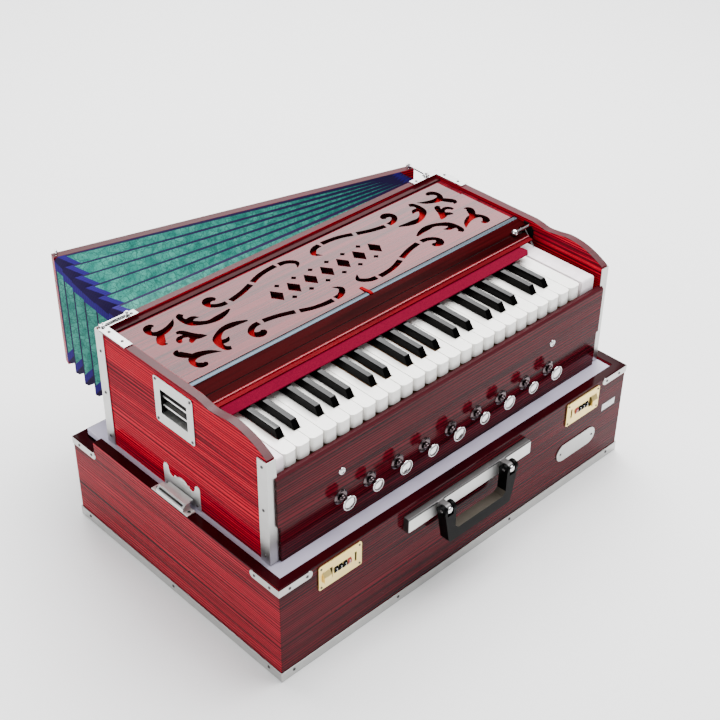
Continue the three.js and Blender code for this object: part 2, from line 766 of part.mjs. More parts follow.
// Side grip: a flanged frame, a recessed cup and two bars across it
function makeSideGrip(side) {
  const cheekFace = side < 0 ? cheekLeft : cheekRight;
  const near = cheekFace + side * fitGap;
  const face = near + side * grip.flange;
  const inward = (run) => face - side * run;
  const flange = prism('x', roundedRectangle(gripMiddleY, gripTop - grip.height / 2, grip.width, grip.height,
    grip.corner, 4), near, face);
  const span = (width, height, from, to) => box(from, to, gripMiddleY - width / 2, gripMiddleY + width / 2,
    gripOpeningMiddle - height / 2, gripOpeningMiddle + height / 2);
  const cup = span(grip.openingWidth + 2 * grip.skin, grip.openingHeight + 2 * grip.skin,
    near, inward(grip.depth));
  const hollow = span(grip.openingWidth, grip.openingHeight,
    face + side * overrun, inward(grip.depth - grip.skin));
  const bars = gripBarShares.map((share) => {
    const z = gripOpeningTop - grip.openingHeight * share;
    return box(inward(grip.barInset), inward(grip.barInset + grip.barDepth),
      gripMiddleY - grip.openingWidth / 2 - grip.skin / 2, gripMiddleY + grip.openingWidth / 2 + grip.skin / 2,
      z - grip.barThickness / 2, z + grip.barThickness / 2);
  });
  return joined([flange.add(cup).subtract(hollow), ...bars]);
}

// Corner post: an aluminium angle on one upright corner of the instrument
function makePost(side, atFront) {
  const outerX = side < 0 ? bodyLeft : bodyRight;
  const outerY = atFront ? bodyFront : bodyBack + fitGap + post.thickness;
  const inwardY = atFront ? 1 : -1;
  const top = bodyTop - (atFront ? post.frontDrop : post.backDrop);
  const sideLeg = box(outerX, outerX - side * post.thickness, outerY, outerY + inwardY * post.sideWidth,
    bodyBase, top);
  const frontLeg = box(outerX, outerX - side * post.frontWidth, outerY, outerY + inwardY * post.thickness,
    bodyBase, top);
  return sideLeg.add(frontLeg);
}

// Back wall between the posts, its top corners tied to the cheeks by chrome brackets with hook pins
const hookBase = bodyTop + fitGap + bracket.thickness + fitGap;
const hookPivotY = backWallFront + hook.pivotInset;
const boardPins = [foldsLeft + bellows.pinInset, bellowsPivot.x];
const hookPivots = [boardPins[0] + hook.sideStep, boardPins[1] - hook.sideStep];

function makeBackWall() {
  const pieces = [box(cheekLeft, cheekRight, backWallFront, bodyBack, bodyBase, bodyTop)];
  const low = bodyTop + fitGap;
  const high = low + bracket.thickness;
  [-1, 1].forEach((side, i) => {
    const outer = side < 0 ? bodyLeft : bodyRight;
    const x = (run) => outer - side * run;
    const back = bodyBack;
    const outline = [
      point(x(bracket.clip), back), point(x(bracket.backLength), back),
      point(x(bracket.backLength), back - bracket.backWidth),
      point(x(bracket.sideWidth), back - bracket.backWidth),
      point(x(bracket.sideWidth), back - bracket.sideLength), point(x(0), back - bracket.sideLength),
      point(x(0), back - bracket.clip),
    ];
    pieces.push(prism('z', outline, low, high));
    pieces.push(box(x(bracket.sideWidth), x(bracket.backLength), backWallFront, back, bodyTop - fitGap, high));
    pieces.push(hookPin(hookPivots[i], hookPivotY, bodyTop));
  });
  const ports = portPlaces.map((portX) => box(portX - chest.portWidth / 2, portX + chest.portWidth / 2,
    backWallFront - overrun, bodyBack + overrun, portBase, portBase + chest.portHeight));
  return cut(joined(pieces), ports);
}

const hookPin = (x, y, base) => rod(hook.pinRadius, at(x, y, base), at(x, y, hookBase + hook.pinRise), 12);

// Bellows hook: an eye round one pin, a flat shank, and a claw that is open on one side
function makeHook(index, turn) {
  const length = Math.hypot(hook.sideStep, bellowsPivot.y - hookPivotY);
  const opensTo = index === 0 ? 1 : -1;
  const radius = hook.pinRadius + hook.pinClearance;
  const disc = (y, r) => rod(r, at(0, y, hookBase), at(0, y, hookBase + hook.thickness), 14);
  const hole = (y) => rod(radius,
    at(0, y, hookBase - overrun), at(0, y, hookBase + hook.thickness + overrun), 14);
  const shank = box(-hook.shankWidth / 2, hook.shankWidth / 2, radius + fitGap, length - radius - fitGap,
    hookBase, hookBase + hook.thickness);
  const mouth = box(0, opensTo * (hook.eyeRadius + overrun), length - radius, length + radius,
    hookBase - overrun, hookBase + hook.thickness + overrun);
  const flat = cut(joined([disc(0, hook.eyeRadius), disc(length, hook.eyeRadius), shank]),
    [hole(0), hole(length), mouth]);
  const geometry = geometryOf(flat);
  geometry.rotateZ(turn);
  geometry.translate(hookPivots[index], hookPivotY, 0);
  return solidOf(geometry);
}

// Wind chest: a closed wooden box with air ports through its rear wall
const portPlaces = [-1, 1].map((side) => cavityCentre + (side * chest.portSpacing) / 2);
const portBase = bodyBase + (chestTop - bodyBase - chest.portHeight) / 2;

function makeWindChest() {
  const [left, right] = [cavityLeft + fitGap, cavityRight - fitGap];
  const [front, back] = [boardBack + chest.frontRoom, backWallFront - chest.rearRoom];
  const shell = box(left, right, front, back, bodyBase, chestTop);
  const hollow = box(left + chest.wall, right - chest.wall, front + chest.wall, back - chest.wall,
    bodyBase + chest.wall, chestTop - chest.wall);
  const ports = portPlaces.map((portX) => box(portX - chest.portWidth / 2, portX + chest.portWidth / 2,
    back - chest.wall - overrun, back + overrun, portBase, portBase + chest.portHeight));
  return cut(shell, [hollow, ...ports]);
}

// Places and sizes of the stops
const stopPlace = (index) => stops.offset + (index - (stops.count - 1) / 2) * stops.pitch;
const stopHole = stops.stemRadius + stops.holeClearance;

// Front board with a turned rosette round each stop's hole
function makeFrontBoard() {
  const top = bodyTop - body.boardTopDrop;
  const lipBase = top - body.boardLipHeight;
  const section = [
    point(boardFront, bodyBase), point(boardFront, top - body.boardEdge),
    point(boardFront + body.boardEdge, top), point(boardBack, top), point(boardBack, bodyBase),
  ];
  const [left, right] = [bodyLeft + post.frontWidth + fitGap, bodyRight - post.frontWidth - fitGap];
  const lipSection = [
    point(boardFront, lipBase), point(boardFront, top - body.boardEdge),
    point(boardFront + body.boardLipThickness, top), point(boardFront + body.boardLipThickness, lipBase),
  ];
  const lips = prism('x', lipSection, left - body.boardLipOverlap, right + body.boardLipOverlap);
  const pieces = [prism('x', section, left, right), lips];
  const cutters = [];
  for (let i = 0; i < stops.count; i += 1) {
    const x = stopPlace(i);
    const rosette = [
      point(0, -fitGap), point(stops.rosetteRadius, -fitGap),
      point(stops.rosetteRadius, stops.rosetteThickness / 3),
      point(stops.rosetteRadius - stops.rosetteThickness, stops.rosetteThickness),
      point(0, stops.rosetteThickness),
    ];
    pieces.push(turned(rosette, at(x, boardFront, stopZ), at(0, -1, 0), stops.sides));
    cutters.push(rod(stopHole,
      at(x, boardFront - overrun, stopZ), at(x, boardBack + overrun, stopZ), stops.sides));
  }
  return cut(joined(pieces), cutters);
}

// Stop: stem through the board, ringed neck and a round face; every second one is smaller
function makeStop(index) {
  const radius = index % 2 === 0 ? stops.largeRadius : stops.smallRadius;
  const x = stopPlace(index);
  const faceRun = stops.tail + stops.reach;
  const discBack = faceRun - stops.discThickness;
  const collar = stops.tail + stops.rosetteThickness + fitGap;
  const profile = [
    point(0, 0), point(stops.stemRadius, 0), point(stops.stemRadius, collar),
    point(stops.collarRadius, collar), point(stops.collarRadius, collar + stops.collarThickness),
    point(stops.neckRadius, collar + 1.6 * stops.collarThickness),
    point(stops.neckRadius, discBack - stops.discThickness),
    point(radius - stops.discThickness, discBack), point(radius, discBack + stops.discThickness / 3),
    point(radius, faceRun - stops.discThickness / 3), point(radius - stops.discThickness, faceRun),
    point(0, faceRun),
  ];
  return turned(profile, at(x, boardFront + stops.tail, stopZ), at(0, -1, 0), stops.sides);
}

// Key bed and the balance rail that the keys rock on
function makeKeyBed() {
  const shoulderY = keyFront + keys.bedShoulder;
  const bedEnd = balanceY + keys.railWidth;
  const wide = box(cavityLeft + fitGap, cavityRight - fitGap, keyFront, shoulderY, bedBase, bedTop);
  const narrow = box(cavityLeft + keys.bedInset, cavityRight - keys.bedInset, keyFront, bedEnd, bedBase, bedTop);
  const railHalf = keys.railWidth / 2;
  const balance = box(keysLeft, keysRight, balanceY - railHalf, balanceY + railHalf, bedBase, keyBase - fitGap);
  return joined([wide, narrow, balance]);
}

// Middle of a black key along X, counted from the lowest one
function blackCentre(index) {
  const octave = Math.floor(index / blackCentreShares.length);
  return keysLeft + keys.pitch * (octave * octaveWhites + blackCentreShares[index % blackCentreShares.length]);
}

const blackTotal = Math.floor(keys.whiteCount / octaveWhites) * blackCentreShares.length
  + blackCentreShares.filter((share) => share + 1 < keys.whiteCount % octaveWhites).length;

// White key: round nose, deep front, and a notch for each black key beside it
function makeWhiteKey(index) {
  const left = keysLeft + index * keys.pitch + keys.slit / 2;
  const right = left + keys.pitch - keys.slit;
  const noseY = keyFront + keys.noseRadius;
  const outline = [
    ...arc(left + keys.noseRadius, noseY, keys.noseRadius, Math.PI, 1.5 * Math.PI, 3),
    ...arc(right - keys.noseRadius, noseY, keys.noseRadius, 1.5 * Math.PI, 2 * Math.PI, 3),
    point(right, keyBack), point(left, keyBack),
  ];
  const apron = box(left - overrun, right + overrun, keyFront + keys.frontDepth, keyBack + overrun,
    keyTop - keys.frontHeight - overrun, keyBase);
  const notches = [];
  for (let black = 0; black < blackTotal; black += 1) {
    const centre = blackCentre(black);
    const half = keys.blackWidth / 2 + keys.slit;
    if (centre + half > left && centre - half < right) {
      notches.push(box(centre - half, centre + half, keyFront + keys.blackSetback - keys.slit, keyBack + overrun,
        keyTop - keys.frontHeight - overrun, keyTop + overrun));
    }
  }
  return cut(prism('z', outline, keyTop - keys.frontHeight, keyTop), [apron, ...notches]);
}

// Black key: a stick between the whites, and a raised cap that narrows upwards and slopes at its front
function makeBlackKey(index) {
  const centre = blackCentre(index);
  const front = keyFront + keys.blackSetback;
  const capBack = front + keys.blackCapLength;
  const top = keyTop + keys.blackRise;
  const stick = box(centre - keys.blackWidth / 2, centre + keys.blackWidth / 2, front, keyBack, keyBase, keyTop);
  const cap = loft([
    { z: keyTop, halfX: keys.blackWidth / 2, front, back: capBack },
    { z: top, halfX: keys.blackTopWidth / 2, front: front + keys.blackSlope, back: capBack },
  ].map(({ z, halfX, front: near, back: far }) => [
    at(centre - halfX, near, z), at(centre + halfX, near, z),
    at(centre + halfX, far, z), at(centre - halfX, far, z),
  ]));
  return stick.add(cap);
}

// A closed body through rings of equal count, each ring anticlockwise seen from the last ring's side
function loft(rings) {
  const count = rings[0].length;
  const positions = rings.flat().flatMap((p) => [p.x, p.y, p.z]);
  const triangles = [];
  for (let r = 0; r + 1 < rings.length; r += 1) {
    for (let i = 0; i < count; i += 1) {
      const next = (i + 1) % count;
      const [a, b] = [r * count + i, r * count + next];
      const [c, d] = [a + count, b + count];
      triangles.push(a, b, d, a, d, c);
    }
  }
  const lastRing = (rings.length - 1) * count;
  for (let i = 1; i + 1 < count; i += 1) {
    triangles.push(0, i + 1, i, lastRing, lastRing + i, lastRing + i + 1);
  }
  const geometry = new THREE.BufferGeometry();
  geometry.setAttribute('position', new THREE.Float32BufferAttribute(positions, 3));
  geometry.setIndex(triangles);
  return solidOf(geometry);
}

// Whites and blacks of the octave that plays, each a piece of its own
const playedWhites = whiteNames.map((name, i) => ({ name, index: playedOctave * octaveWhites + i }));
const playedBlacks = blackNames.map((name, i) => ({ name, index: playedOctave * blackNames.length + i }));

// Key frame: the bed, the balance rail, and the keys outside the played octave
function makeKeyFrame() {
  const played = new Set(playedWhites.map((key) => key.index));
  const playedSharps = new Set(playedBlacks.map((key) => key.index));
  const railHalf = keys.railWidth / 2;
  const pieces = [makeKeyBed()];
  const seat = (x0, x1) => box(x0, x1, balanceY - railHalf, balanceY + railHalf,
    keyBase - 2 * fitGap, keyBase + fitGap);
  for (let i = 0; i < keys.whiteCount; i += 1) {
    if (!played.has(i)) {
      const middle = keysLeft + (i + 0.5) * keys.pitch;
      pieces.push(makeWhiteKey(i), seat(middle - keys.slit, middle + keys.slit));
    }
  }
  for (let i = 0; i < blackTotal; i += 1) {
    if (!playedSharps.has(i)) {
      pieces.push(makeBlackKey(i), seat(blackCentre(i) - keys.slit, blackCentre(i) + keys.slit));
    }
  }
  return joined(pieces);
}

// End blocks beside the keys, bevelled along the top of the front
function makeEndBlock(left, width) {
  const section = [
    point(keyFront, bedTop + fitGap), point(keyFront, keyTop - blockEdge), point(keyFront + blockEdge, keyTop),
    point(keyFront + blockLength, keyTop), point(keyFront + blockLength, bedTop + fitGap),
  ];
  return prism('x', section, left, left + width);
}

// Felt over the key tails, glued under the foot of the rail
function makeFelt() {
  const [left, right] = [keysLeft - felt.leftInset, keysRight - felt.rightInset];
  const outline = [
    point(left, feltFront), point(right, feltFront), point(right + felt.point, feltFront + felt.depth / 5),
    point(right + felt.point / 2, feltFront + felt.depth), point(left, feltFront + felt.depth),
  ];
  return prism('z', outline, feltBase, feltTop);
}

// Sloping rail between the felt and the panel: a bead at its foot, a fine groove, and a notch for the lever
const railEnd = cavityRight - 2 * fitGap - lever.plateThickness;
const railSeat = bodyTop - rail.topDrop - rail.seatDepth;
const leverY = keyFront + lever.shaftSetback;
const leverZ = bodyTop - lever.shaftDrop;

function makeRail() {
  const foot = feltTop + fitGap;
  const top = bodyTop - rail.topDrop;
  const ledgeY = railFront + rail.ledgeDepth;
  const ledgeZ = foot + rail.footRise + rail.ledgeRise;
  const beadY = ledgeY + rail.beadDepth;
  const beadZ = ledgeZ + rail.beadRise;
  const slope = (top - beadZ) / (stripFront - beadY);
  const faceZ = (y) => beadZ + (y - beadY) * slope;
  const grooveFront = railFront + rail.grooveRun;
  const grooveBack = grooveFront + rail.grooveWidth;
  const bead = arc(0, 0, 1, Math.PI, Math.PI / 2, 4).map((p) => point(
    beadY + p.x * rail.beadDepth, ledgeZ + p.y * rail.beadRise));
  const section = [
    point(railFront, foot), point(railFront, foot + rail.footRise), ...bead,
    point(grooveFront, faceZ(grooveFront)), point(grooveFront, faceZ(grooveFront) - rail.grooveDepth),
    point(grooveBack, faceZ(grooveBack) - rail.grooveDepth), point(grooveBack, faceZ(grooveBack)),
    point(stripFront, faceZ(stripFront)), point(stripFront, railSeat),
    point(railBack, railSeat), point(railBack, railSeat - rail.thickness),
    point(railFront + rail.undersideRun, foot),
  ];
  const blank = prism('x', section, cavityLeft + fitGap, railEnd);
  const notchX = cavityRight - lever.rodRun - lever.notchFrontRun;
  const notch = box(notchX, railEnd + overrun, railFront - overrun, leverY + lever.notchBackRun,
    feltBase, bodyTop);
  const reliefX = cavityRight - lever.knobRun - lever.knobRadius - lever.clearance;
  const relief = rod(lever.knobRadius + lever.clearance, at(reliefX, leverY, leverZ),
    at(railEnd + overrun, leverY, leverZ), 20);
  return cut(blank, [notch, relief]);
}

// Bright half-round strip along the top of the rail
function makeStrip() {
  const base = railSeat + fitGap;
  const [front, back] = [stripFront + fitGap, stripFront + strip.width];
  const middle = (front + back) / 2;
  const half = (back - front) / 2;
  const crown = arc(0, 0, 1, 0, Math.PI, 8).map((p) => point(
    middle + half * p.x, base + strip.height * (1 + p.y) / 2));
  return prism('x', [point(front, base), point(back, base), ...crown], cavityLeft + fitGap, railEnd);
}

// Both edges of one saw-cut stroke, then the outline of each short span of it, so that tight curls stay whole
function strokeSpans(stations) {
  const middle = new THREE.CatmullRomCurve3(stations.map(([along, up]) => new THREE.Vector3(
    along * scroll.halfLength, up * scroll.halfDepth, 0)));
  const widths = new THREE.CatmullRomCurve3(stations.map(([, , width], i) => new THREE.Vector3(
    i, width * scroll.halfDepth, 0)));
  const steps = (stations.length - 1) * scroll.stepsPerSpan;
  const near = [];
  const far = [];
  for (let i = 0; i <= steps; i += 1) {
    const t = i / steps;
    const centre = middle.getPoint(t);
    const tangent = middle.getTangent(t);
    const half = Math.max(widths.getPoint(t).y, 0) / 2;
    near.push(point(centre.x - tangent.y * half, centre.y + tangent.x * half));
    far.push(point(centre.x + tangent.y * half, centre.y - tangent.x * half));
  }
  const spans = [];
  for (let i = 0; i < steps; i += 1) {
    const corners = [near[i], near[i + 1], far[i + 1], far[i]];
    const centre = corners.reduce((sum, p) => sum.clone().add(p)).divideScalar(corners.length);
    const bearing = (p) => Math.atan2(p.y - centre.y, p.x - centre.x);
    spans.push(corners.sort((p, q) => bearing(p) - bearing(q)));
  }
  return spans;
}

const lozenge = (x, y, length, width) => [
  point(x - length / 2, y), point(x, y - width / 2), point(x + length / 2, y), point(x, y + width / 2),
];

// Pierced panel: quarter strokes mirrored four ways, a leaf at each end and lozenges in the middle
function makePiercedPanel() {
  const middleY = (panelFront + panelBack) / 2;
  const [low, high] = [panelTop - panel.thickness, panelTop];
  const blank = box(cavityLeft + fitGap, cavityRight - fitGap, panelFront, panelBack, low, high);
  const saw = (outline, flipX, flipY) => prism('z',
    outline.map((p) => point(cavityCentre + flipX * p.x, middleY + flipY * p.y)),
    low - overrun, high + overrun);
  const cutters = [];
  const quarterSpans = quarterStrokeShares.flatMap(strokeSpans);
  const leafSpans = leafStrokeShares.flatMap(strokeSpans);
  for (const flipX of [-1, 1]) {
    for (const span of quarterSpans) {
      cutters.push(saw(span, flipX, -1), saw(span, flipX, 1));
    }
    for (const span of leafSpans) {
      cutters.push(saw(span, flipX, 1));
    }
  }
  const firstX = (-(scroll.lozengeCount - 1) / 2) * scroll.lozengePitch;
  for (let i = 0; i < scroll.lozengeCount; i += 1) {
    const x = firstX + i * scroll.lozengePitch;
    cutters.push(saw(lozenge(x, 0, scroll.lozengeLength, scroll.lozengeWidth), 1, 1));
  }
  for (let i = 0; i + 1 < scroll.lozengeCount; i += 1) {
    const x = firstX + (i + 0.5) * scroll.lozengePitch;
    for (const flipY of [-1, 1]) {
      cutters.push(saw(lozenge(x, scroll.pipOffset, scroll.pipLength, scroll.pipWidth), 1, flipY));
    }
  }
  return blank.subtract(joined(cutters));
}

function makeRearRail() {
  const top = bodyTop - body.rearRailDrop;
  return box(cavityLeft + fitGap, cavityRight - fitGap, panelBack + fitGap, cheekBack,
    top - body.rearRailHeight, top);
}

// A point of the closed bellows, turned by a share of the whole opening about the hooked pin
function opened(x, y, z, share) {
  const turn = openTurn * share;
  const [dx, dy] = [x - bellowsPivot.x, y - bellowsPivot.y];
  return at(
    bellowsPivot.x + dx * Math.cos(turn) - dy * Math.sin(turn),
    bellowsPivot.y + dx * Math.sin(turn) + dy * Math.cos(turn),
    z,
  );
}

// Pleated folds: ridges and valleys in turn, each fold edge turned a little further than the last
function makeFolds() {
  const depth = bellows.folded - 2 * fitGap;
  const rings = foldShares.map((share, i) => {
    const isRidge = i % 2 === 1;
    const inset = isRidge ? 0 : bellows.tuck;
    const corner = isRidge ? bellows.ridgeCorner : bellows.valleyCorner;
    const y = bodyBack + fitGap + share * depth;
    const [left, right] = [foldsLeft + inset, foldsRight - inset];
    const [low, high] = [bellowsBase + inset, bellowsTop - inset];
    return [
      [left + corner, low], [right - corner, low], [right, low + corner], [right, high - corner],
      [right - corner, high], [left + corner, high], [left, high - corner], [left, low + corner],
    ].map(([x, z]) => opened(x, y, z, share)).reverse();
  });
  return loft(rings);
}

// Bellows board with a pin for each hook
function makeBellowsBoard() {
  const closed = joined([
    box(foldsLeft, boardRight, boardClosedFront, boardClosedBack, bellowsBase, bellowsTop),
    ...boardPins.map((x) => hookPin(x, bellowsPivot.y, bellowsTop - fitGap)),
  ]);
  const geometry = geometryOf(closed);
  geometry.translate(-bellowsPivot.x, -bellowsPivot.y, 0);
  geometry.rotateZ(openTurn);
  geometry.translate(bellowsPivot.x, bellowsPivot.y, 0);
  return solidOf(geometry);
}

// Lever: ball knob on a shaft along the rail, with a stay rod down to the end block
function makeLever() {
  const knobX = cavityRight - lever.knobRun;
  const knob = new THREE.SphereGeometry(lever.knobRadius, 14, 10);
  knob.translate(knobX, leverY, leverZ);
  const shaft = rod(lever.shaftRadius, at(knobX, leverY, leverZ), at(cavityRight - fitGap, leverY, leverZ), 12);
  const rodX = cavityRight - lever.rodRun;
  const stay = rod(lever.rodRadius, at(rodX, leverY, leverZ),
    at(rodX, leverY - lever.rodReach, keyTop + lever.rodFootRise), 8);
  return joined([solidOf(knob), shaft, stay]);
}

function makeLeverPlate() {
  const top = bodyTop - lever.plateTopDrop;
  const front = keyFront + lever.plateSetback;
  const outline = [
    point(front, top - lever.plateHeight), point(front + lever.plateDepth, top - lever.plateHeight),
    point(front + lever.plateDepth, top), point(front + lever.plateClip, top),
    point(front, top - lever.plateClip),
  ];
  const bore = rod(lever.shaftRadius + lever.clearance, at(cavityRight - shiftRoom, leverY, leverZ),
    at(cavityRight + overrun, leverY, leverZ), 12);
  return prism('x', outline, cavityRight - fitGap - lever.plateThickness, cavityRight - fitGap).subtract(bore);
}

// The whole object
const sides = [['left', -1], ['right', 1]];
addPiece('case_body', makeCaseBody(), redWood);
addPiece('case_base_trim', makeBaseTrim(), aluminium);
addPiece('handle_bar', makeHandleBar(), chrome);
addPiece('carry_handle', makeCarryHandle(), blackPlastic);
addPiece('name_plate', makeNamePlate(), aluminium);
for (const [name, side] of sides) {
  addPiece(`lock_${name}`, makeLock(side), brass);
  addPiece(`lock_slide_${name}`, makeLockSlide(side), brass);
  addPiece(`latch_${name}`, makeLatch(side), chrome);
  addPiece(`latch_bolt_${name}`, makeLatchBolt(side), aluminium);
  addPiece(`cheek_${name}`, makeCheek(side), redWood);
  addPiece(`side_grip_${name}`, makeSideGrip(side), aluminium);
  addPiece(`post_front_${name}`, makePost(side, true), aluminium);
  addPiece(`post_back_${name}`, makePost(side, false), aluminium);
}
addPiece('lift_platform', makePlatform(), whitePaint);
addPiece('wind_chest', makeWindChest(), rawWood);
addPiece('back_wall', makeBackWall(), redWood);
addPiece('front_board', makeFrontBoard(), redWood);
for (let i = 0; i < stops.count; i += 1) addPiece(`stop_${i + 1}`, makeStop(i), chrome);
addPiece('key_frame', makeKeyFrame(), ivory);
for (const { name, index } of playedWhites) addPiece(`key_${name}`, makeWhiteKey(index), ivory);
for (const { name, index } of playedBlacks) addPiece(`key_${name}`, makeBlackKey(index), blackPlastic);
addPiece('end_block_left', makeEndBlock(cavityLeft + fitGap, leftBlockWidth), whitePaint);
addPiece('end_block_right', makeEndBlock(keysRight + rightBlockGap, rightBlockWidth), whitePaint);
addPiece('felt_strip', makeFelt(), crimsonFelt);
addPiece('cover_rail', makeRail(), darkWood);
addPiece('cover_strip', makeStrip(), aluminium);
addPiece('pierced_panel', makePiercedPanel(), redWood);
addPiece('rear_rail', makeRearRail(), darkWood);
addPiece('lever', makeLever(), chrome);
addPiece('lever_plate', makeLeverPlate(), blackPlastic);
addPiece('bellows_folds', makeFolds(), tealPaper);
addPiece('bellows_board', makeBellowsBoard(), redWood);
addPiece('hook_left', makeHook(0, Math.PI / 2), chrome);
addPiece('hook_right', makeHook(1, -Math.atan2(hook.sideStep, bellowsPivot.y - hookPivotY)), chrome);

// The origin is the middle of the footprint, on the ground
const bounds = new THREE.Box3().setFromObject(assembly);
assembly.position.set(-(bounds.min.x + bounds.max.x) / 2, -(bounds.min.y + bounds.max.y) / 2, -bounds.min.z);

const harmonium = new THREE.Group();
harmonium.add(assembly);
harmonium.updateMatrixWorld(true);

export default harmonium;
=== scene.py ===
"""Looks of the suitcase harmonium: red laminate, bright fittings, marbled bellows, pierced top."""

import json
import logging
import math
from collections.abc import Callable, Sequence
from dataclasses import dataclass, field
from enum import Enum
from functools import cached_property

import bmesh
import bpy
from mathutils import Matrix, Vector


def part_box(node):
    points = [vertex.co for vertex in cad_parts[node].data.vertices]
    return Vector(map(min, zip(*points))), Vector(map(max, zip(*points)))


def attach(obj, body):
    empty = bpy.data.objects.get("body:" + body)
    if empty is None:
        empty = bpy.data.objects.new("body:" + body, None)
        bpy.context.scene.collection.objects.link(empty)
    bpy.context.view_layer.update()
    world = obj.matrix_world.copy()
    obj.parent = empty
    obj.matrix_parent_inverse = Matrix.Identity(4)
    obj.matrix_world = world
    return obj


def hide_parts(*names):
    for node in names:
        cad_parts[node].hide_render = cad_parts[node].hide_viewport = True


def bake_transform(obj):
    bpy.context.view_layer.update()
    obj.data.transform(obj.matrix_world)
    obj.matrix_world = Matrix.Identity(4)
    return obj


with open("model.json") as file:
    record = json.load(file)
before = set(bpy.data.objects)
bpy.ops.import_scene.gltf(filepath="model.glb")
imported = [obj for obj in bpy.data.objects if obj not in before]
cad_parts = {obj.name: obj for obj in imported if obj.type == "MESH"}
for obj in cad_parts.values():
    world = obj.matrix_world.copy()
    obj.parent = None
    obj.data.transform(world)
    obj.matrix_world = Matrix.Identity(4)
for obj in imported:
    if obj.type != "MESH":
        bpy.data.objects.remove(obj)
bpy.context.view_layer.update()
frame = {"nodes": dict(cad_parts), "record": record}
log = logging.getLogger("harmonium")

MM = 0.001
METRE_MM = 1000
# From the case's front back to that of the platform in it, in millimetres
PLATFORM_INSET = 14.8
CASE_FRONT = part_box("lift_platform")[0][1] - PLATFORM_INSET * MM
# A face this many millimetres past a surface belongs to a fitting on it
CLEAR = 0.05
# Upward share of a normal that counts as level, and as quite level
LEVEL, QUITE_LEVEL = 0.5, 0.9
# Angle from which an edge is rounded, and up to which faces count as one
SHARP, FLAT = math.radians(28), math.radians(0.4)
AHEAD, BEHIND, ABOVE = (0, -1, 0), (0, 1, 0), (0, 0, 1)

Material = bpy.types.Material
Mesh = bmesh.types.BMesh
Piece = bpy.types.Object
Socket = bpy.types.NodeSocket
Pair = tuple[float, float]
Direction = tuple[float, float, float]
Chooser = Callable[[Vector, Vector], int]


def place(x: float, y: float, z: float) -> Vector:
    """Turns a workshop position into the row frame.

    Args:
        x: Millimetres right of the middle of the case.
        y: Millimetres behind the front face of the case.
        z: Millimetres above the ground.

    Returns:
        The position in metres.
    """
    return Vector((x * MM, y * MM + CASE_FRONT, z * MM))


def linear(hex_colour: str) -> tuple[float, float, float, float]:
    """Turns an sRGB hex value into a linear colour with an alpha of one.

    Args:
        hex_colour: The colour, such as #A0A0A0.

    Returns:
        Red, green, blue and alpha, from 0 to 1.
    """
    values = [int(hex_colour[i : i + 2], 16) / 255 for i in (1, 3, 5)]
    red, green, blue = (v / 12.92 if v <= 0.04045 else ((v + 0.055) / 1.055) ** 2.4 for v in values)
    return (red, green, blue, 1.0)


def shade(hex_colour: str, factor: float) -> str:
    """Darkens or lightens a hex colour by a factor."""
    values = [min(255, round(int(hex_colour[i : i + 2], 16) * factor)) for i in (1, 3, 5)]
    return "#" + "".join(f"{v:02X}" for v in values)


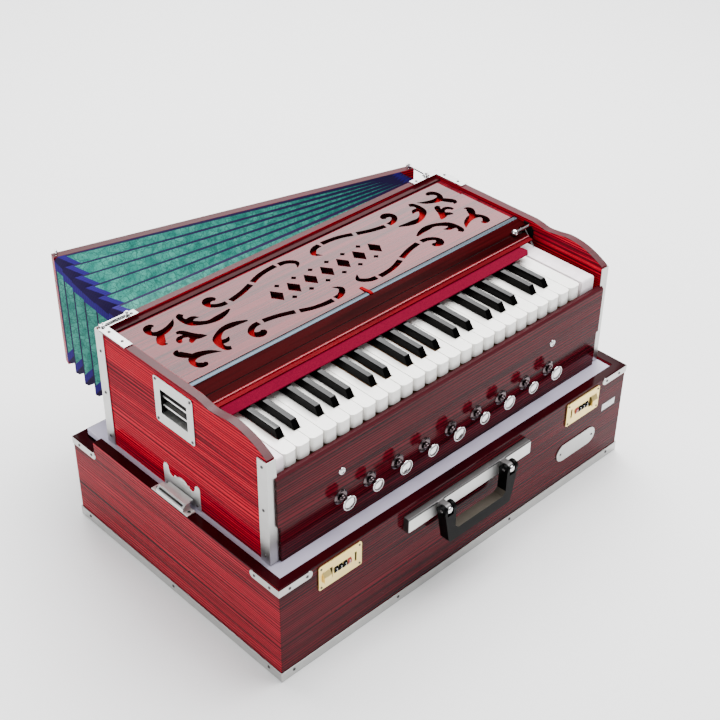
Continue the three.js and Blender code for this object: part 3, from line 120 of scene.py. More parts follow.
class Shader:
    """A material in the making: each step adds a node and hands on what the node gives."""

    def __init__(self, name: str) -> None:
        """Starts a material with no nodes in it.

        Args:
            name: Name of the material.
        """
        self.material = bpy.data.materials.new(name)
        self.material.use_nodes = True
        self.tree = self.material.node_tree
        self.tree.nodes.clear()

    @cached_property
    def where(self) -> Socket:
        """Coordinates that ride on the object."""
        return self.add_node("ShaderNodeTexCoord", {}).outputs["Object"]

    def add_node(self, kind: str, inputs: dict, **settings: object) -> bpy.types.Node:
        """Adds one shader node.

        Args:
            kind: Blender's type name of the node.
            inputs: Value or incoming socket for each input, by name or number.
            **settings: Properties of the node itself.

        Returns:
            The new node.
        """
        node = self.tree.nodes.new(kind)
        for key, value in settings.items():
            setattr(node, key, value)
        for key, value in inputs.items():
            if isinstance(value, Socket):
                self.tree.links.new(value, node.inputs[key])
            else:
                node.inputs[key].default_value = value
        return node

    def texture(self, kind: str, size_mm: float, inputs: dict | None = None, output: int = 0,
                **settings: object) -> Socket:
        """Adds a texture of a size that rides on the object, and gives one of its outputs."""
        inputs = {"Vector": self.where, "Scale": METRE_MM / size_mm} | (inputs or {})
        return self.add_node(f"ShaderNodeTex{kind}", inputs, **settings).outputs[output]

    def maths(self, operation: str, *values: object, kind: str = "Math") -> Socket:
        """Adds one step of arithmetic, on numbers or with kind VectorMath on vectors."""
        inputs = dict(enumerate(values))
        return self.add_node(f"ShaderNode{kind}", inputs, operation=operation).outputs[0]

    def remap(self, value: Socket, limits: Pair, new_limits: Pair) -> Socket:
        """Adds a change of a value from one range to another."""
        inputs = dict(enumerate((value, *limits, *new_limits)))
        return self.add_node("ShaderNodeMapRange", inputs).outputs[0]

    def ramp(self, value: Socket, *stops: tuple[float, str]) -> Socket:
        """Adds a colour ramp with a hex colour at each position.

        Args:
            value: What picks the colour, from 0 to 1.
            *stops: Position and hex colour of each stop.

        Returns:
            The colour.
        """
        node = self.add_node("ShaderNodeValToRGB", {0: value})
        elements = node.color_ramp.elements
        while len(elements) < len(stops):
            elements.new(0.5)
        for element, (position, colour) in zip(elements, stops):
            element.position = position
            element.color = linear(colour)
        return node.outputs["Color"]

    def tint(self, ground: Socket, colour: str, share: Socket) -> Socket:
        """Adds a share of a hex colour to a ground."""
        inputs = {0: share, 6: ground, 7: linear(colour)}
        return self.add_node("ShaderNodeMix", inputs, data_type="RGBA").outputs[2]

    def close(self, inputs: dict, relief: tuple[Socket, float, float] | None = None) -> Material:
        """Adds the bump, if there is relief of some strength and depth, and the surface.

        Args:
            inputs: Values and links of the surface's sockets.
            relief: Height, strength of the bump and its depth in millimetres.

        Returns:
            The finished material.
        """
        if relief:
            height, strength, depth_mm = relief
            bump = {"Height": height, "Strength": strength, "Distance": depth_mm * MM}
            inputs = inputs | {"Normal": self.add_node("ShaderNodeBump", bump).outputs[0]}
        surface = self.add_node("ShaderNodeBsdfPrincipled", inputs)
        self.add_node("ShaderNodeOutputMaterial", {"Surface": surface.outputs[0]})
        return self.material


@dataclass(frozen=True)
class Laminate:
    """Decorative laminate, printed with a straight grain and polished to a hard gloss."""

    name: str
    dark: str
    middle: str
    bright: str
    is_level: bool = False
    streak_mm: float = 1.6
    band_mm: float = 14.0
    band_share: float = 0.45
    line_mm: float = 4.3
    line_depth: float = 0.8
    drift_mm: float = 25.0
    drift_radians: float = 28.0
    roughness: float = 0.12
    gloss: float = 0.0
    shine: float = 0.03

    def grain(self, make: Shader, across_mm: float, along: float, detail: float) -> Socket:
        """Adds noise of a size across the grain and of some repeats per metre along it.

        Args:
            make: The shader that it is part of.
            across_mm: Size across the grain.
            along: Repeats in a metre along the grain.
            detail: Finer layers of the noise.

        Returns:
            The noise, from 0 to 1.
        """
        across = METRE_MM / across_mm
        scale = (along, across, along) if self.is_level else (along, along, across)
        drawn = make.add_node("ShaderNodeMapping", {"Vector": make.where, "Scale": scale})
        inputs = {"Vector": drawn.outputs[0], "Detail": detail, "Roughness": 0.62}
        return make.texture("Noise", METRE_MM, inputs)

    def pinstripes(self, make: Shader) -> Socket:
        """Adds even lines along the grain, which drift a little.

        Args:
            make: The shader that they are part of.

        Returns:
            How strong a line is at each point.
        """
        axes = make.add_node("ShaderNodeSeparateXYZ", {0: make.where})
        drift = self.grain(make, self.drift_mm, 1.2, 0.0)
        wander = make.maths("MULTIPLY", drift, self.drift_radians)
        across = axes.outputs["Y" if self.is_level else "Z"]
        turns = math.tau * METRE_MM / self.line_mm
        wave = make.maths("SINE", make.maths("MULTIPLY_ADD", across, turns, wander))
        return make.remap(wave, (-0.1, 0.8), (0.0, self.line_depth))

    def build(self) -> Material:
        """Makes the material: dark and bright lines and pinstripes among them, under a gloss.

        Returns:
            The finished material.
        """
        make = Shader(self.name)
        streaks = self.grain(make, self.streak_mm, 4.0, 5.0)
        bands = self.grain(make, self.band_mm, 1.6, 5.0)
        inputs = {0: self.band_share, 2: streaks, 3: bands}
        both = make.add_node("ShaderNodeMix", inputs, data_type="FLOAT").outputs[0]
        printed = make.ramp(both, (0.38, self.dark), (0.46, self.middle), (0.56, self.bright))
        return make.close({
            "Base Color": make.tint(printed, self.dark, self.pinstripes(make)),
            "Roughness": self.roughness, "Specular IOR Level": self.shine,
            "Coat Weight": self.gloss, "Coat Roughness": 0.03,
        }, (streaks, 0.02, 0.2))


@dataclass(frozen=True)
class Metal:
    """Solid or plated metal with faint handling marks."""

    name: str
    colour: str
    roughness: float
    mark_mm: float = 18.0
    variation: float = 0.06

    def build(self) -> Material:
        """Makes the material: one metal colour, its roughness broken by soft smears.

        Returns:
            The finished material.
        """
        make = Shader(self.name)
        smear = make.texture("Noise", self.mark_mm, {"Detail": 4.0})
        limits = (self.roughness * (1 - self.variation), self.roughness * (1 + 2 * self.variation))
        return make.close({
            "Base Color": make.ramp(smear, (0.2, shade(self.colour, 0.94)), (0.7, self.colour)),
            "Metallic": 1.0, "Roughness": make.remap(smear, (0.0, 1.0), limits),
        })


@dataclass(frozen=True)
class Moulded:
    """Moulded or painted plastic, slightly uneven in tone and with a fine surface grain."""

    name: str
    colour: str
    roughness: float
    tone_mm: float = 9.0
    tone_share: float = 0.94
    grain_mm: float = 0.8
    grain_depth: float = 0.04
    coat: float = 0.0
    shine: float = 0.5

    def build(self) -> Material:
        """Makes the material: a cloudy tone and a moulded grain under an optional gloss.

        Returns:
            The finished material.
        """
        make = Shader(self.name)
        cloud = make.texture("Noise", self.tone_mm, {"Detail": 5.0})
        grain = make.texture("Voronoi", self.grain_mm)
        low = shade(self.colour, self.tone_share)
        return make.close({
            "Base Color": make.ramp(cloud, (0.3, low), (0.65, self.colour)),
            "Roughness": self.roughness, "Specular IOR Level": self.shine,
            "Coat Weight": self.coat, "Coat Roughness": 0.05,
        }, (grain, self.grain_depth, 0.3))


@dataclass(frozen=True)
class Felt:
    """Pressed wool felt or napped cloth: no shine, a soft nap and short fibres."""

    name: str
    colour: str
    fibre_mm: float = 1.1

    def build(self) -> Material:
        """Makes the material: fibres in two tones, with a trace of sheen at grazing angles.

        Returns:
            The finished material.
        """
        make = Shader(self.name)
        fibre = make.texture("Noise", self.fibre_mm, {"Detail": 6.0, "Distortion": 1.2})
        return make.close({
            "Base Color": make.ramp(fibre, (0.3, shade(self.colour, 0.68)), (0.65, self.colour)),
            "Roughness": 0.95, "Specular IOR Level": 0.02,
            "Sheen Weight": 0.01, "Sheen Roughness": 0.5,
        }, (fibre, 0.5, 0.4))


@dataclass(frozen=True)
class MarbledPaper:
    """Hand-marbled cover paper: a clouded ground crossed by thin dark veins, slightly waxed."""

    name: str
    ground: str
    light: str
    vein: str
    vein_mm: float = 10.0
    crinkle_mm: float = 5.0
    cloud_mm: float = 14.0
    warp_mm: float = 22.0
    warp_reach: float = 0.016

    def build(self) -> Material:
        """Makes the material: broken veins and crinkles over a clouded ground.

        Returns:
            The finished material.
        """
        make = Shader(self.name)
        warp = make.texture("Noise", self.warp_mm, {"Detail": 4.0}, output=1)
        bent = make.maths("MULTIPLY", warp, (self.warp_reach,) * 3, kind="VectorMath")
        path = {"Vector": make.maths("ADD", make.where, bent, kind="VectorMath")}
        cloud = make.texture("Noise", self.cloud_mm, path | {"Detail": 6.0})
        veins = make.texture("Voronoi", self.vein_mm, path, feature="DISTANCE_TO_EDGE")
        inputs = path | {"Detail": 5.0, "Distortion": 2.5}
        crinkle = make.texture("Noise", self.crinkle_mm, inputs)
        line = make.remap(veins, (0.0, 0.07), (1.2, 0.0))
        specks = make.remap(crinkle, (0.53, 0.62), (0.0, 0.55))
        dark = make.maths("MAXIMUM", make.maths("MULTIPLY", line, cloud), specks)
        ground = make.ramp(cloud, (0.36, self.ground), (0.64, self.light))
        return make.close({
            "Base Color": make.tint(ground, self.vein, dark),
            "Roughness": 0.5, "Specular IOR Level": 0.2,
        }, (cloud, 0.15, 0.4))


@dataclass(frozen=True)
class BookCloth:
    """Book-binder's cloth: a plain weave, drawn at 0.9 mm so that it shows."""

    name: str
    colour: str
    thread_mm: float = 0.9

    def build(self) -> Material:
        """Makes the material: crossing threads in two tones of one colour.

        Returns:
            The finished material.
        """
        make = Shader(self.name)
        size, inputs = self.thread_mm * math.tau, {"Distortion": 1.0}
        weave = make.maths("MAXIMUM", *(
            make.texture("Wave", size, inputs, output=1, bands_direction=axis) for axis in "XZ"))
        return make.close({
            "Base Color": make.ramp(weave, (0.1, shade(self.colour, 0.6)), (0.9, self.colour)),
            "Roughness": 0.6, "Specular IOR Level": 0.2,
        }, (weave, 0.25, 0.2))


class Finish(Enum):
    """Every finish on the object, each made once."""

    # Bright red sides with dark lines: a wood print under lacquer
    SIDE = Laminate(
        "polished red laminate", "#2A050E", "#84081E", "#BC0626", line_depth=0.9, shine=0.012)
    # The same print a shade browner, for the case
    CASE = Laminate("polished case laminate", "#1E050A", "#700E1A", "#A01226", line_depth=0.95)
    # The same print painted darker on the fronts: painted shade, as they face away from the light
    FRONT = Laminate(
        "polished front laminate with painted shade", "#120407", "#3E0812", "#600C1A", shine=0.055)
    # Level tops: clear lacquer that mirrors the window as a pink veil
    TOP = Laminate(
        "lacquered red top", "#2A060C", "#4A0A14", "#66101C", is_level=True, line_depth=0.25,
        gloss=0.85)
    # Top edges of the boards: one dark red with a dull pink shine
    EDGE = Laminate(
        "polished board edge", "#34080F", "#3A0A12", "#420C16", line_depth=0.1, roughness=0.35,
        shine=0.18)
    # Nearly black red of the mouldings
    STAINED = Laminate(
        "dark stained moulding", "#120204", "#240308", "#340509", line_depth=0.2, gloss=0.05)
    # Sloping cover moulding: a deep clear red beside the veiled panel
    RAIL = Laminate(
        "deep red cover moulding", "#120102", "#1E0203", "#2C0406", line_depth=0.15, shine=0.004)
    # Front lip of that moulding, below the bead: the same red painted brighter, as painted light
    # where it turns to the light
    LIP = Laminate("red cover lip with painted light", "#38040A", "#4C050C", "#600812", line_depth=0.15, shine=0.004)
    # Crown of the round bead: a brighter red as a painted highlight, under a gloss that also
    # catches the light in a thin line
    BEAD = Laminate(
        "polished bead with painted highlight", "#5A0A12", "#700C16", "#860E1A", line_depth=0.0, roughness=0.06,
        gloss=0.55)
    # Saw-cut edge inside the scrollwork, painted near black as the shade in the holes
    SAWN = Laminate("saw-cut edge with painted shade", "#0E0304", "#180406", "#2C060A", roughness=0.6)
    # Plain unvarnished board inside
    CHEST = Laminate(
        "bare pine board", "#6A4828", "#86603A", "#A07A4E", line_depth=0.1, roughness=0.7)
    # Trim, posts and straps: a soft white line round every edge of the red
    ALUMINIUM = Metal("satin aluminium angle", "#B8B8B6", 0.3)
    # Dark where it mirrors the laminate, white where it mirrors the room
    CHROME = Metal("chromium plate", "#D6D6D6", 0.09)
    # Latches, strike plates and handle bar, duller than the chrome beside them
    STEEL = Metal("polished steel pressing", "#D8D8D6", 0.42)
    # Cool half-round strip along the cover's edge
    BLUED = Metal("blued steel strip", "#364048", 0.24)
    # Turned neck of the stops, nearly black between its highlights
    GUNMETAL = Metal("dark chromium neck", "#5C5052", 0.14)
    # Dull screw heads, darker than what they hold
    ZINC = Metal("dull zinc screw", "#5C5A5A", 0.4)
    # Inside of the lifting grips: painted shade, far darker than their steel
    CUP = Metal("cup inside with painted shade", "#1E1E20", 0.5)
    # Lock plates: pale gold, the only warm tone on the front
    BRASS = Metal("pale lacquered brass", "#EED488", 0.32)
    # Carry handle: the blackest form, with a soft light along its bends
    HANDLE = Moulded(
        "polished black ABS", "#040404", 0.32, grain_mm=0.9, grain_depth=0.06, shine=0.035)
    # Top of its grip, grained and a warm grey
    GRAINED = Moulded(
        "grained ABS grip", "#3A342C", 0.6, grain_mm=0.9, grain_depth=0.5, shine=0.2)
    # Flat black of the dials and the lever plate, and painted shade inside slots and recesses,
    # which reads as depth
    DARK = Moulded("flat black paint and painted shade", "#040404", 0.75, shine=0.1)
    # White keys: warm white under a clear gloss
    WHITE_KEY = Moulded(
        "cast cream acrylic", "#FBF9F4", 0.22, tone_mm=30, tone_share=0.96, coat=0.4)
    # Tops of the black keys, grey where they mirror the window
    BLACK_TOP = Moulded(
        "polished black phenolic", "#050505", 0.3, grain_mm=1.2, grain_depth=0.03, coat=0.5,
        shine=0.1)
    # Sides of the black keys, without the grey of the tops
    BLACK_SIDE = Moulded("black phenolic side", "#020202", 0.25, shine=0.03)
    # End blocks beside the keys, a shade cooler and duller than them
    BLOCK = Moulded("satin white key block", "#F4EAEE", 0.4)
    # Platform in the case: lilac white, painted a little darker as the cabinet's shade over it; a
    # pale band between two dark reds
    PLATFORM = Moulded("lilac white enamel with painted shade", "#B4AEC2", 0.35, tone_mm=60, tone_share=0.97)
    # Blank label and the strokes on the lock dials
    LABEL = Moulded("blank white label", "#E4E4E6", 0.5)
    # The one red dial of each lock
    RED_DIAL = Moulded("red dial enamel", "#8E0A08", 0.35)
    # Matt crimson between the shine of the keys and of the rail
    FELT = Felt("crimson wool felt", "#640420")
    # Ribbon tab, the brightest red of all
    RIBBON = Felt("bright red ribbon", "#84040E", fibre_mm=0.7)
    # Red cloth that shows through the scrollwork
    LINING = Felt("red lining cloth", "#8C0610")
    # Bellows: clouded teal, the complement of all the red
    PAPER = MarbledPaper("teal marbled paper", "#1E6E64", "#3E9484", "#062C2A")
    # Tape along the folds, and the gussets of the corners: violet cloth, painted dusky dark as the
    # shade in the folds
    VIOLET = BookCloth("violet book cloth with painted fold shade", "#241644")
    # Patches beside the gussets, a clear blue
    BLUE = BookCloth("blue book cloth", "#260E74")

    def material(self) -> Material:
        """Returns the finish's material, making it the first time."""
        return bpy.data.materials.get(self.value.name) or self.value.build()


def link_new(name: str, data: bpy.types.ID) -> Piece:
    """Makes an object of its data and puts it in the scene.

    Args:
        name: Name of the object.
        data: Its mesh, lamp or camera.

    Returns:
        The new object.
    """
    made = bpy.data.objects.new(name, data)
    bpy.context.scene.collection.objects.link(made)
    return made


def link_mesh(name: str, mesh: Mesh, finishes: Sequence[Finish] = ()) -> Piece:
    """Makes an object of a finished mesh, with the finish of each material number.

    Args:
        name: Name of the object.
        mesh: Its mesh, which is used up.
        finishes: Finish of each material number.

    Returns:
        The new object.
    """
    data = bpy.data.meshes.new(name)
    mesh.to_mesh(data)
    mesh.free()
    for finish in finishes:
        data.materials.append(finish.material())
    return link_new(name, data)


def body_of(node: str) -> str:
    """Returns the body that a CAD node belongs to."""
    bodies = frame["record"]["behaviour"]["bodies"]
    return next(body for body, nodes in bodies.items() if node in nodes)


def new_piece(name: str, mesh: Mesh, finishes: Sequence[Finish], body: str) -> Piece:
    """Makes an object of a finished mesh, and lets it ride on a body.

    Args:
        name: Name of the piece.
        mesh: Its mesh, in the row frame.
        finishes: Finish of each material number.
        body: The body that it moves with.

    Returns:
        The new object.
    """
    piece = link_mesh(name, mesh, finishes)
    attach(piece, body)
    log.info("%s rides on %s", name, body)
    return piece


def round_edges(piece: Piece, width_mm: float, segments: int = 2, number: int = -1) -> None:
    """Rounds every sharp edge, in a material number or, with -1, in that of the faces beside it.

    Args:
        piece: The piece.
        width_mm: Width of the rounding.
        segments: Facets across it.
        number: Its material number.
    """
    for polygon in piece.data.polygons:
        polygon.use_smooth = True
    bevel = piece.modifiers.new("rounded edges", "BEVEL")
    bevel.width = width_mm * MM
    bevel.material = number
    bevel.segments = segments
    bevel.limit_method = "ANGLE"
    bevel.angle_limit = SHARP
    bevel.use_clamp_overlap = True
    normals = piece.modifiers.new("flat faces", "WEIGHTED_NORMAL")
    normals.keep_sharp = True


def dressed(node: str, finishes: Sequence[Finish], edge_mm: float, choose: Chooser | None = None,
            segments: int = 2) -> Piece:
    """Replaces a CAD node by a copy with rounded edges and a finish for each part of it.

    Args:
        node: Name of the CAD node.
        finishes: The finishes that it has.
        edge_mm: Radius of its edges.
        choose: Gives the number of the finish from a face's middle and normal.
        segments: Facets across each rounded edge.

    Returns:
        The new object.
    """
    mesh = bmesh.new()
    mesh.from_mesh(frame["nodes"][node].data)
    bmesh.ops.remove_doubles(mesh, verts=mesh.verts, dist=2e-6)
    bmesh.ops.dissolve_limit(mesh, angle_limit=FLAT, verts=mesh.verts, edges=mesh.edges)
    mesh.normal_update()
    if choose:
        for part in mesh.faces:
            part.material_index = choose(part.calc_center_median(), part.normal)
    piece = new_piece(f"{node}_dressed", mesh, finishes, body_of(node))
    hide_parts(node)
    round_edges(piece, edge_mm, segments)
    return piece


def by_facing(middle: Vector, normal: Vector) -> int:
    """Gives 0 for a side, 1 for a level top and 2 for a face towards the player, whose finish
    carries painted shade.

    Args:
        middle: Middle of the face.
        normal: Its direction.

    Returns:
        The number of its finish.
    """
    if normal.z > LEVEL:
        return 1
    return 2 if normal.y < -0.6 else 0


def by_level(middle: Vector, normal: Vector) -> int:
    """Gives 1 for a level top and 0 for any other face."""
    return int(normal.z > LEVEL)


def fittings_above(height: float) -> Chooser:
    """Gives a chooser of 2 for what stands above a height, and by level for the rest."""
    limit = (height + CLEAR) * MM
    return lambda middle, normal: 2 if middle.z > limit else by_level(middle, normal)


def turn_to(direction: Direction) -> Matrix:
    """Gives the turn that brings the upright to a direction."""
    return Vector(ABOVE).rotation_difference(Vector(direction).normalized()).to_matrix()


def add_turned(mesh: Mesh, profile: Sequence[Pair], origin: Vector, direction: Direction,
               sides: int, number: int = 0) -> None:
    """Adds a turned form, its profile the radius and the height of each ring in millimetres.

    Args:
        mesh: The mesh that it is added to.
        profile: Radius and height of each ring.
        origin: Where its axis starts.
        direction: Where its axis points.
        sides: Facets round it.
        number: Its material number.
    """
    turn = turn_to(direction)
    rings: list[list[bmesh.types.BMVert]] = []
    for radius, along in profile:
        ring = []
        for i in range(sides if radius > 0 else 1):
            angle = math.tau * i / sides
            local = Vector((radius * math.cos(angle), radius * math.sin(angle), along)) * MM
            ring.append(mesh.verts.new(origin + turn @ local))
        rings.append(ring)
    for low, high in zip(rings, rings[1:]):
        for i in range(sides):
            corners = [low[i % len(low)], low[(i + 1) % len(low)]]
            corners += [high[(i + 1) % len(high)], high[i % len(high)]]
            unique = list(dict.fromkeys(corners))
            if len(unique) > 2:
                made = mesh.faces.new(unique)
                made.smooth = True
                made.material_index = number


def add_block(mesh: Mesh, low: Vector, high: Vector, number: int = 0,
              seat: Matrix = Matrix.Identity(4)) -> None:
    """Adds a block between two corners, moved to its seat.

    Args:
        mesh: The mesh that it is added to.
        low: Its low corner.
        high: Its high corner.
        number: Its material number.
        seat: Turns and moves it to its seat.
    """
    xs, ys, zs = zip(low, high)
    verts = [mesh.verts.new(seat @ Vector((x, y, z))) for x in xs for y in ys for z in zs]
    quads = ((0, 1, 3, 2), (4, 6, 7, 5), (0, 4, 5, 1), (2, 3, 7, 6), (0, 2, 6, 4), (1, 5, 7, 3))
    for quad in quads:
        mesh.faces.new([verts[i] for i in quad]).material_index = number


def add_plate(name: str, low: Vector, high: Vector, finish: Finish, body: str, like: str,
              edge_mm: float) -> None:
    """Makes a piece of one block with rounded edges.

    Args:
        name: Name of the piece.
        low: Its low corner.
        high: Its high corner.
        finish: Its finish.
        body: The body that it moves with.
        like: Not used.
        edge_mm: Radius of its edges.
    """
    mesh = bmesh.new()
    add_block(mesh, low, high)
    round_edges(new_piece(name, mesh, [finish], body), edge_mm)


@dataclass
class Screws:
    """Small cross-head screws with a domed head, gathered in one piece for each body."""

    name: str
    body: str
    like: str = "latch_bolt_left"
    head_mm: float = 2.7
    places: list[tuple[Vector, Direction, float]] = field(default_factory=list)

    def at(self, x: float, y: float, z: float, direction: Direction, scale: float = 0.8) -> None:
        """Adds one screw, its head pointing in that direction."""
        self.places.append((place(x, y, z), direction, scale))

    def build(self) -> None:
        """Makes the piece with every screw added so far, no two slots at the same angle."""
        mesh = bmesh.new()
        for i, (spot, direction, scale) in enumerate(self.places):
            head = self.head_mm * scale
            dome = [(head, 0.25), (head * 0.86, 0.6), (head * 0.5, 0.88), (0, 1.0)]
            add_turned(mesh, [(head, -0.25), *dome], spot, direction, 16)
            turn = turn_to(direction) @ Matrix.Rotation(math.radians(17 + 31 * i), 3, "Z")
            seat = Matrix.Translation(spot) @ turn.to_4x4()
            # The cross slots, number 1, are flat black: painted shade in the recess
            for long_x, long_y in ((0.55, 0.12), (0.12, 0.55)):
                x, y = long_x * head * MM, long_y * head * MM
                low, high = Vector((-x, -y, 0.4 * MM)), Vector((x, y, 1.03 * MM))
                add_block(mesh, low, high, 1, seat)
        new_piece(self.name, mesh, [Finish.ZINC, Finish.DARK], self.body)


@dataclass
class CarryingCase:
    """Case with its straps, trim, locks, latches, handle and plates."""

    half_width: float = 332.5
    depth: float = 427.9
    height: float = 158.0
    rear_height: float = 141.0
    trim_out: float = 1.5
    trim_screw_z: float = 9.0
    strap_out: float = 1.2
    strap_drop: float = 6.75
    lock_inset: float = 61.5
    lock_width: float = 72.0
    lock_low: float = 115.0
    lock_high: float = 153.0
    lock_out: float = 2.3
    first_dial: float = 28.3
    dial_pitch: float = 7.4
    dial_count: int = 4
    dial_out: float = 4.2
    latch_x: float = 325.5
    latch_y: float = 211.5
    latch_screw: float = 32.5
    lugs_x: Pair = (-66.0, 54.0)
    grip_top: float = 104.0

    def build(self) -> None:
        """Dresses the case's nodes and adds its small pieces."""
        low, high = place(-self.half_width, 0, 0), place(self.half_width, self.depth, 0)

        def case_part(middle: Vector, normal: Vector) -> int:
            """Gives 3 for what stands proud of the case, and by facing for the rest."""
            past = max(low.x - middle.x, middle.x - high.x, low.y - middle.y, middle.y - high.y)
            return 3 if past > CLEAR * MM else by_facing(middle, normal)

        # The fronts, number 2, take the print with painted shade
        finishes = [Finish.CASE, Finish.STAINED, Finish.FRONT, Finish.ALUMINIUM]
        dressed("case_body", finishes, 0.8, case_part)
        dressed("case_base_trim", [Finish.ALUMINIUM], 0.4)
        dressed("name_plate", [Finish.ALUMINIUM], 0.5, segments=3)
        self.dress_handle()
        for side, name in ((-1, "left"), (1, "right")):
            self.dress_lock(side, name)
            dressed(f"latch_{name}", [Finish.STEEL], 0.6, segments=3)
            dressed(f"latch_bolt_{name}", [Finish.STEEL], 0.5)
        corners = place(286, -0.25, 97), place(315.5, 0.02, 108.5)
        add_plate("front_label", *corners, Finish.LABEL, "case", "end_block_left", 0.12)
        self.add_screws()

    def dress_handle(self) -> None:
        """Dresses the bar, brushed on its front, and the grained grip, and caps the lugs."""

        def handle_part(middle: Vector, normal: Vector) -> int:
            """Gives 0 for the ends above the grip, and by level for the rest."""
            return by_level(middle, normal) if middle.z < self.grip_top * MM else 0

        finishes = [Finish.ZINC, Finish.STEEL]
        dressed("handle_bar", finishes, 0.9, lambda middle, normal: int(normal.y < -0.9), 3)
        dressed("carry_handle", [Finish.HANDLE, Finish.GRAINED], 2.4, handle_part, 4)
        mesh = bmesh.new()
        profile = [(5.0, 0), (5.0, 1.0), (4.6, 1.7), (3.4, 2.4), (1.8, 2.8), (0, 2.9)]
        for x in self.lugs_x:
            add_turned(mesh, profile, place(x, -26.2, 138), AHEAD, 28)
        new_piece("lug_caps", mesh, [Finish.CHROME], "case")

    def dress_lock(self, side: int, name: str) -> None:
        """Dresses one lock: plate, dials in black and red, slide, and a black sheet of painted
        shade inside.

        Args:
            side: -1 for the left lock, 1 for the right one.
            name: Its side as a word.
        """
        edge = self.half_width - self.lock_inset
        dials = [edge - self.first_dial - self.dial_pitch * i for i in range(self.dial_count)]

        def lock_part(middle: Vector, normal: Vector) -> int:
            """Gives 1 for a dial, 2 for the red one and 0 for the plate.

            Args:
                middle: Middle of the face.
                normal: Its direction.

            Returns:
                The number of its finish.
            """
            if middle.y > place(0, -self.lock_out - CLEAR, 0).y:
                return 0
            return 2 if abs(middle.x) < (dials[-1] + 4) * MM else 1

        dressed(f"lock_{name}", [Finish.BRASS, Finish.DARK, Finish.RED_DIAL], 0.35, lock_part)
        dressed(f"lock_slide_{name}", [Finish.BRASS], 0.5)
        # A flat black sheet behind the lock plate: painted shade for the lock's inside
        left, right = sorted((side * (edge - 3), side * (edge - self.lock_width + 3)))
        corners = place(left, -0.28, self.lock_low + 3), place(right, -0.05, self.lock_high - 3)
        add_plate(f"lock_shade_sheet_{name}", *corners, Finish.DARK, "case", "carry_handle", 0.1)
        marks = bmesh.new()
        level = (self.lock_low + self.lock_high) / 2
        strokes = ((-0.9, 0.9, 2.0, 2.5), (-0.9, 0.9, -2.5, -2.0), (0.5, 0.9, -2.0, 2.0))
        for middle in dials:
            for left, right, base, top in strokes:
                low = place(side * middle + left, -self.dial_out - 0.16, level + base)
                add_block(marks, low, place(side * middle + right, -self.dial_out, level + top))
        new_piece(f"lock_digits_{name}", marks, [Finish.LABEL], "case")

    def add_screws(self) -> None:
        """Adds the screws of the trim, the straps, the locks and the latches."""
        screws = Screws("case_screws", "case")
        for x in (-313.5, -130.5, 91.5, 309.5):
            screws.at(x, -self.trim_out, self.trim_screw_z, AHEAD, 0.9)
            screws.at(x, self.depth + self.trim_out, self.trim_screw_z, BEHIND, 0.9)
        high, low = self.height - self.strap_drop, self.rear_height - self.strap_drop
        for side in (-1, 1):
            outward = (side, 0, 0)
            for y in (23, 217, 407):
                trim = side * (self.half_width + self.trim_out)
                screws.at(trim, y, self.trim_screw_z, outward, 0.9)
            strap = side * (self.half_width + self.strap_out)
            for reach in (16, 44):
                x = side * (self.half_width - reach)
                screws.at(x, -self.strap_out, high, AHEAD)
                screws.at(strap, reach, high, outward)
                screws.at(x, self.depth + self.strap_out, low, BEHIND)
                screws.at(strap, self.depth - reach, low, outward)
            for end in (-self.latch_screw, self.latch_screw):
                screws.at(side * self.latch_x, self.latch_y + end, self.height + 1.8, ABOVE, 0.9)
            for run in (4, self.lock_width - 4):
                x = side * (self.half_width - self.lock_inset - run)
                for z in (self.lock_low + 4, self.lock_high - 4):
                    screws.at(x, -self.lock_out, z, AHEAD, 0.6)
        for x in (195.5, 265.5):
            screws.at(x, -1.8, 67.15, AHEAD, 0.7)
        screws.build()


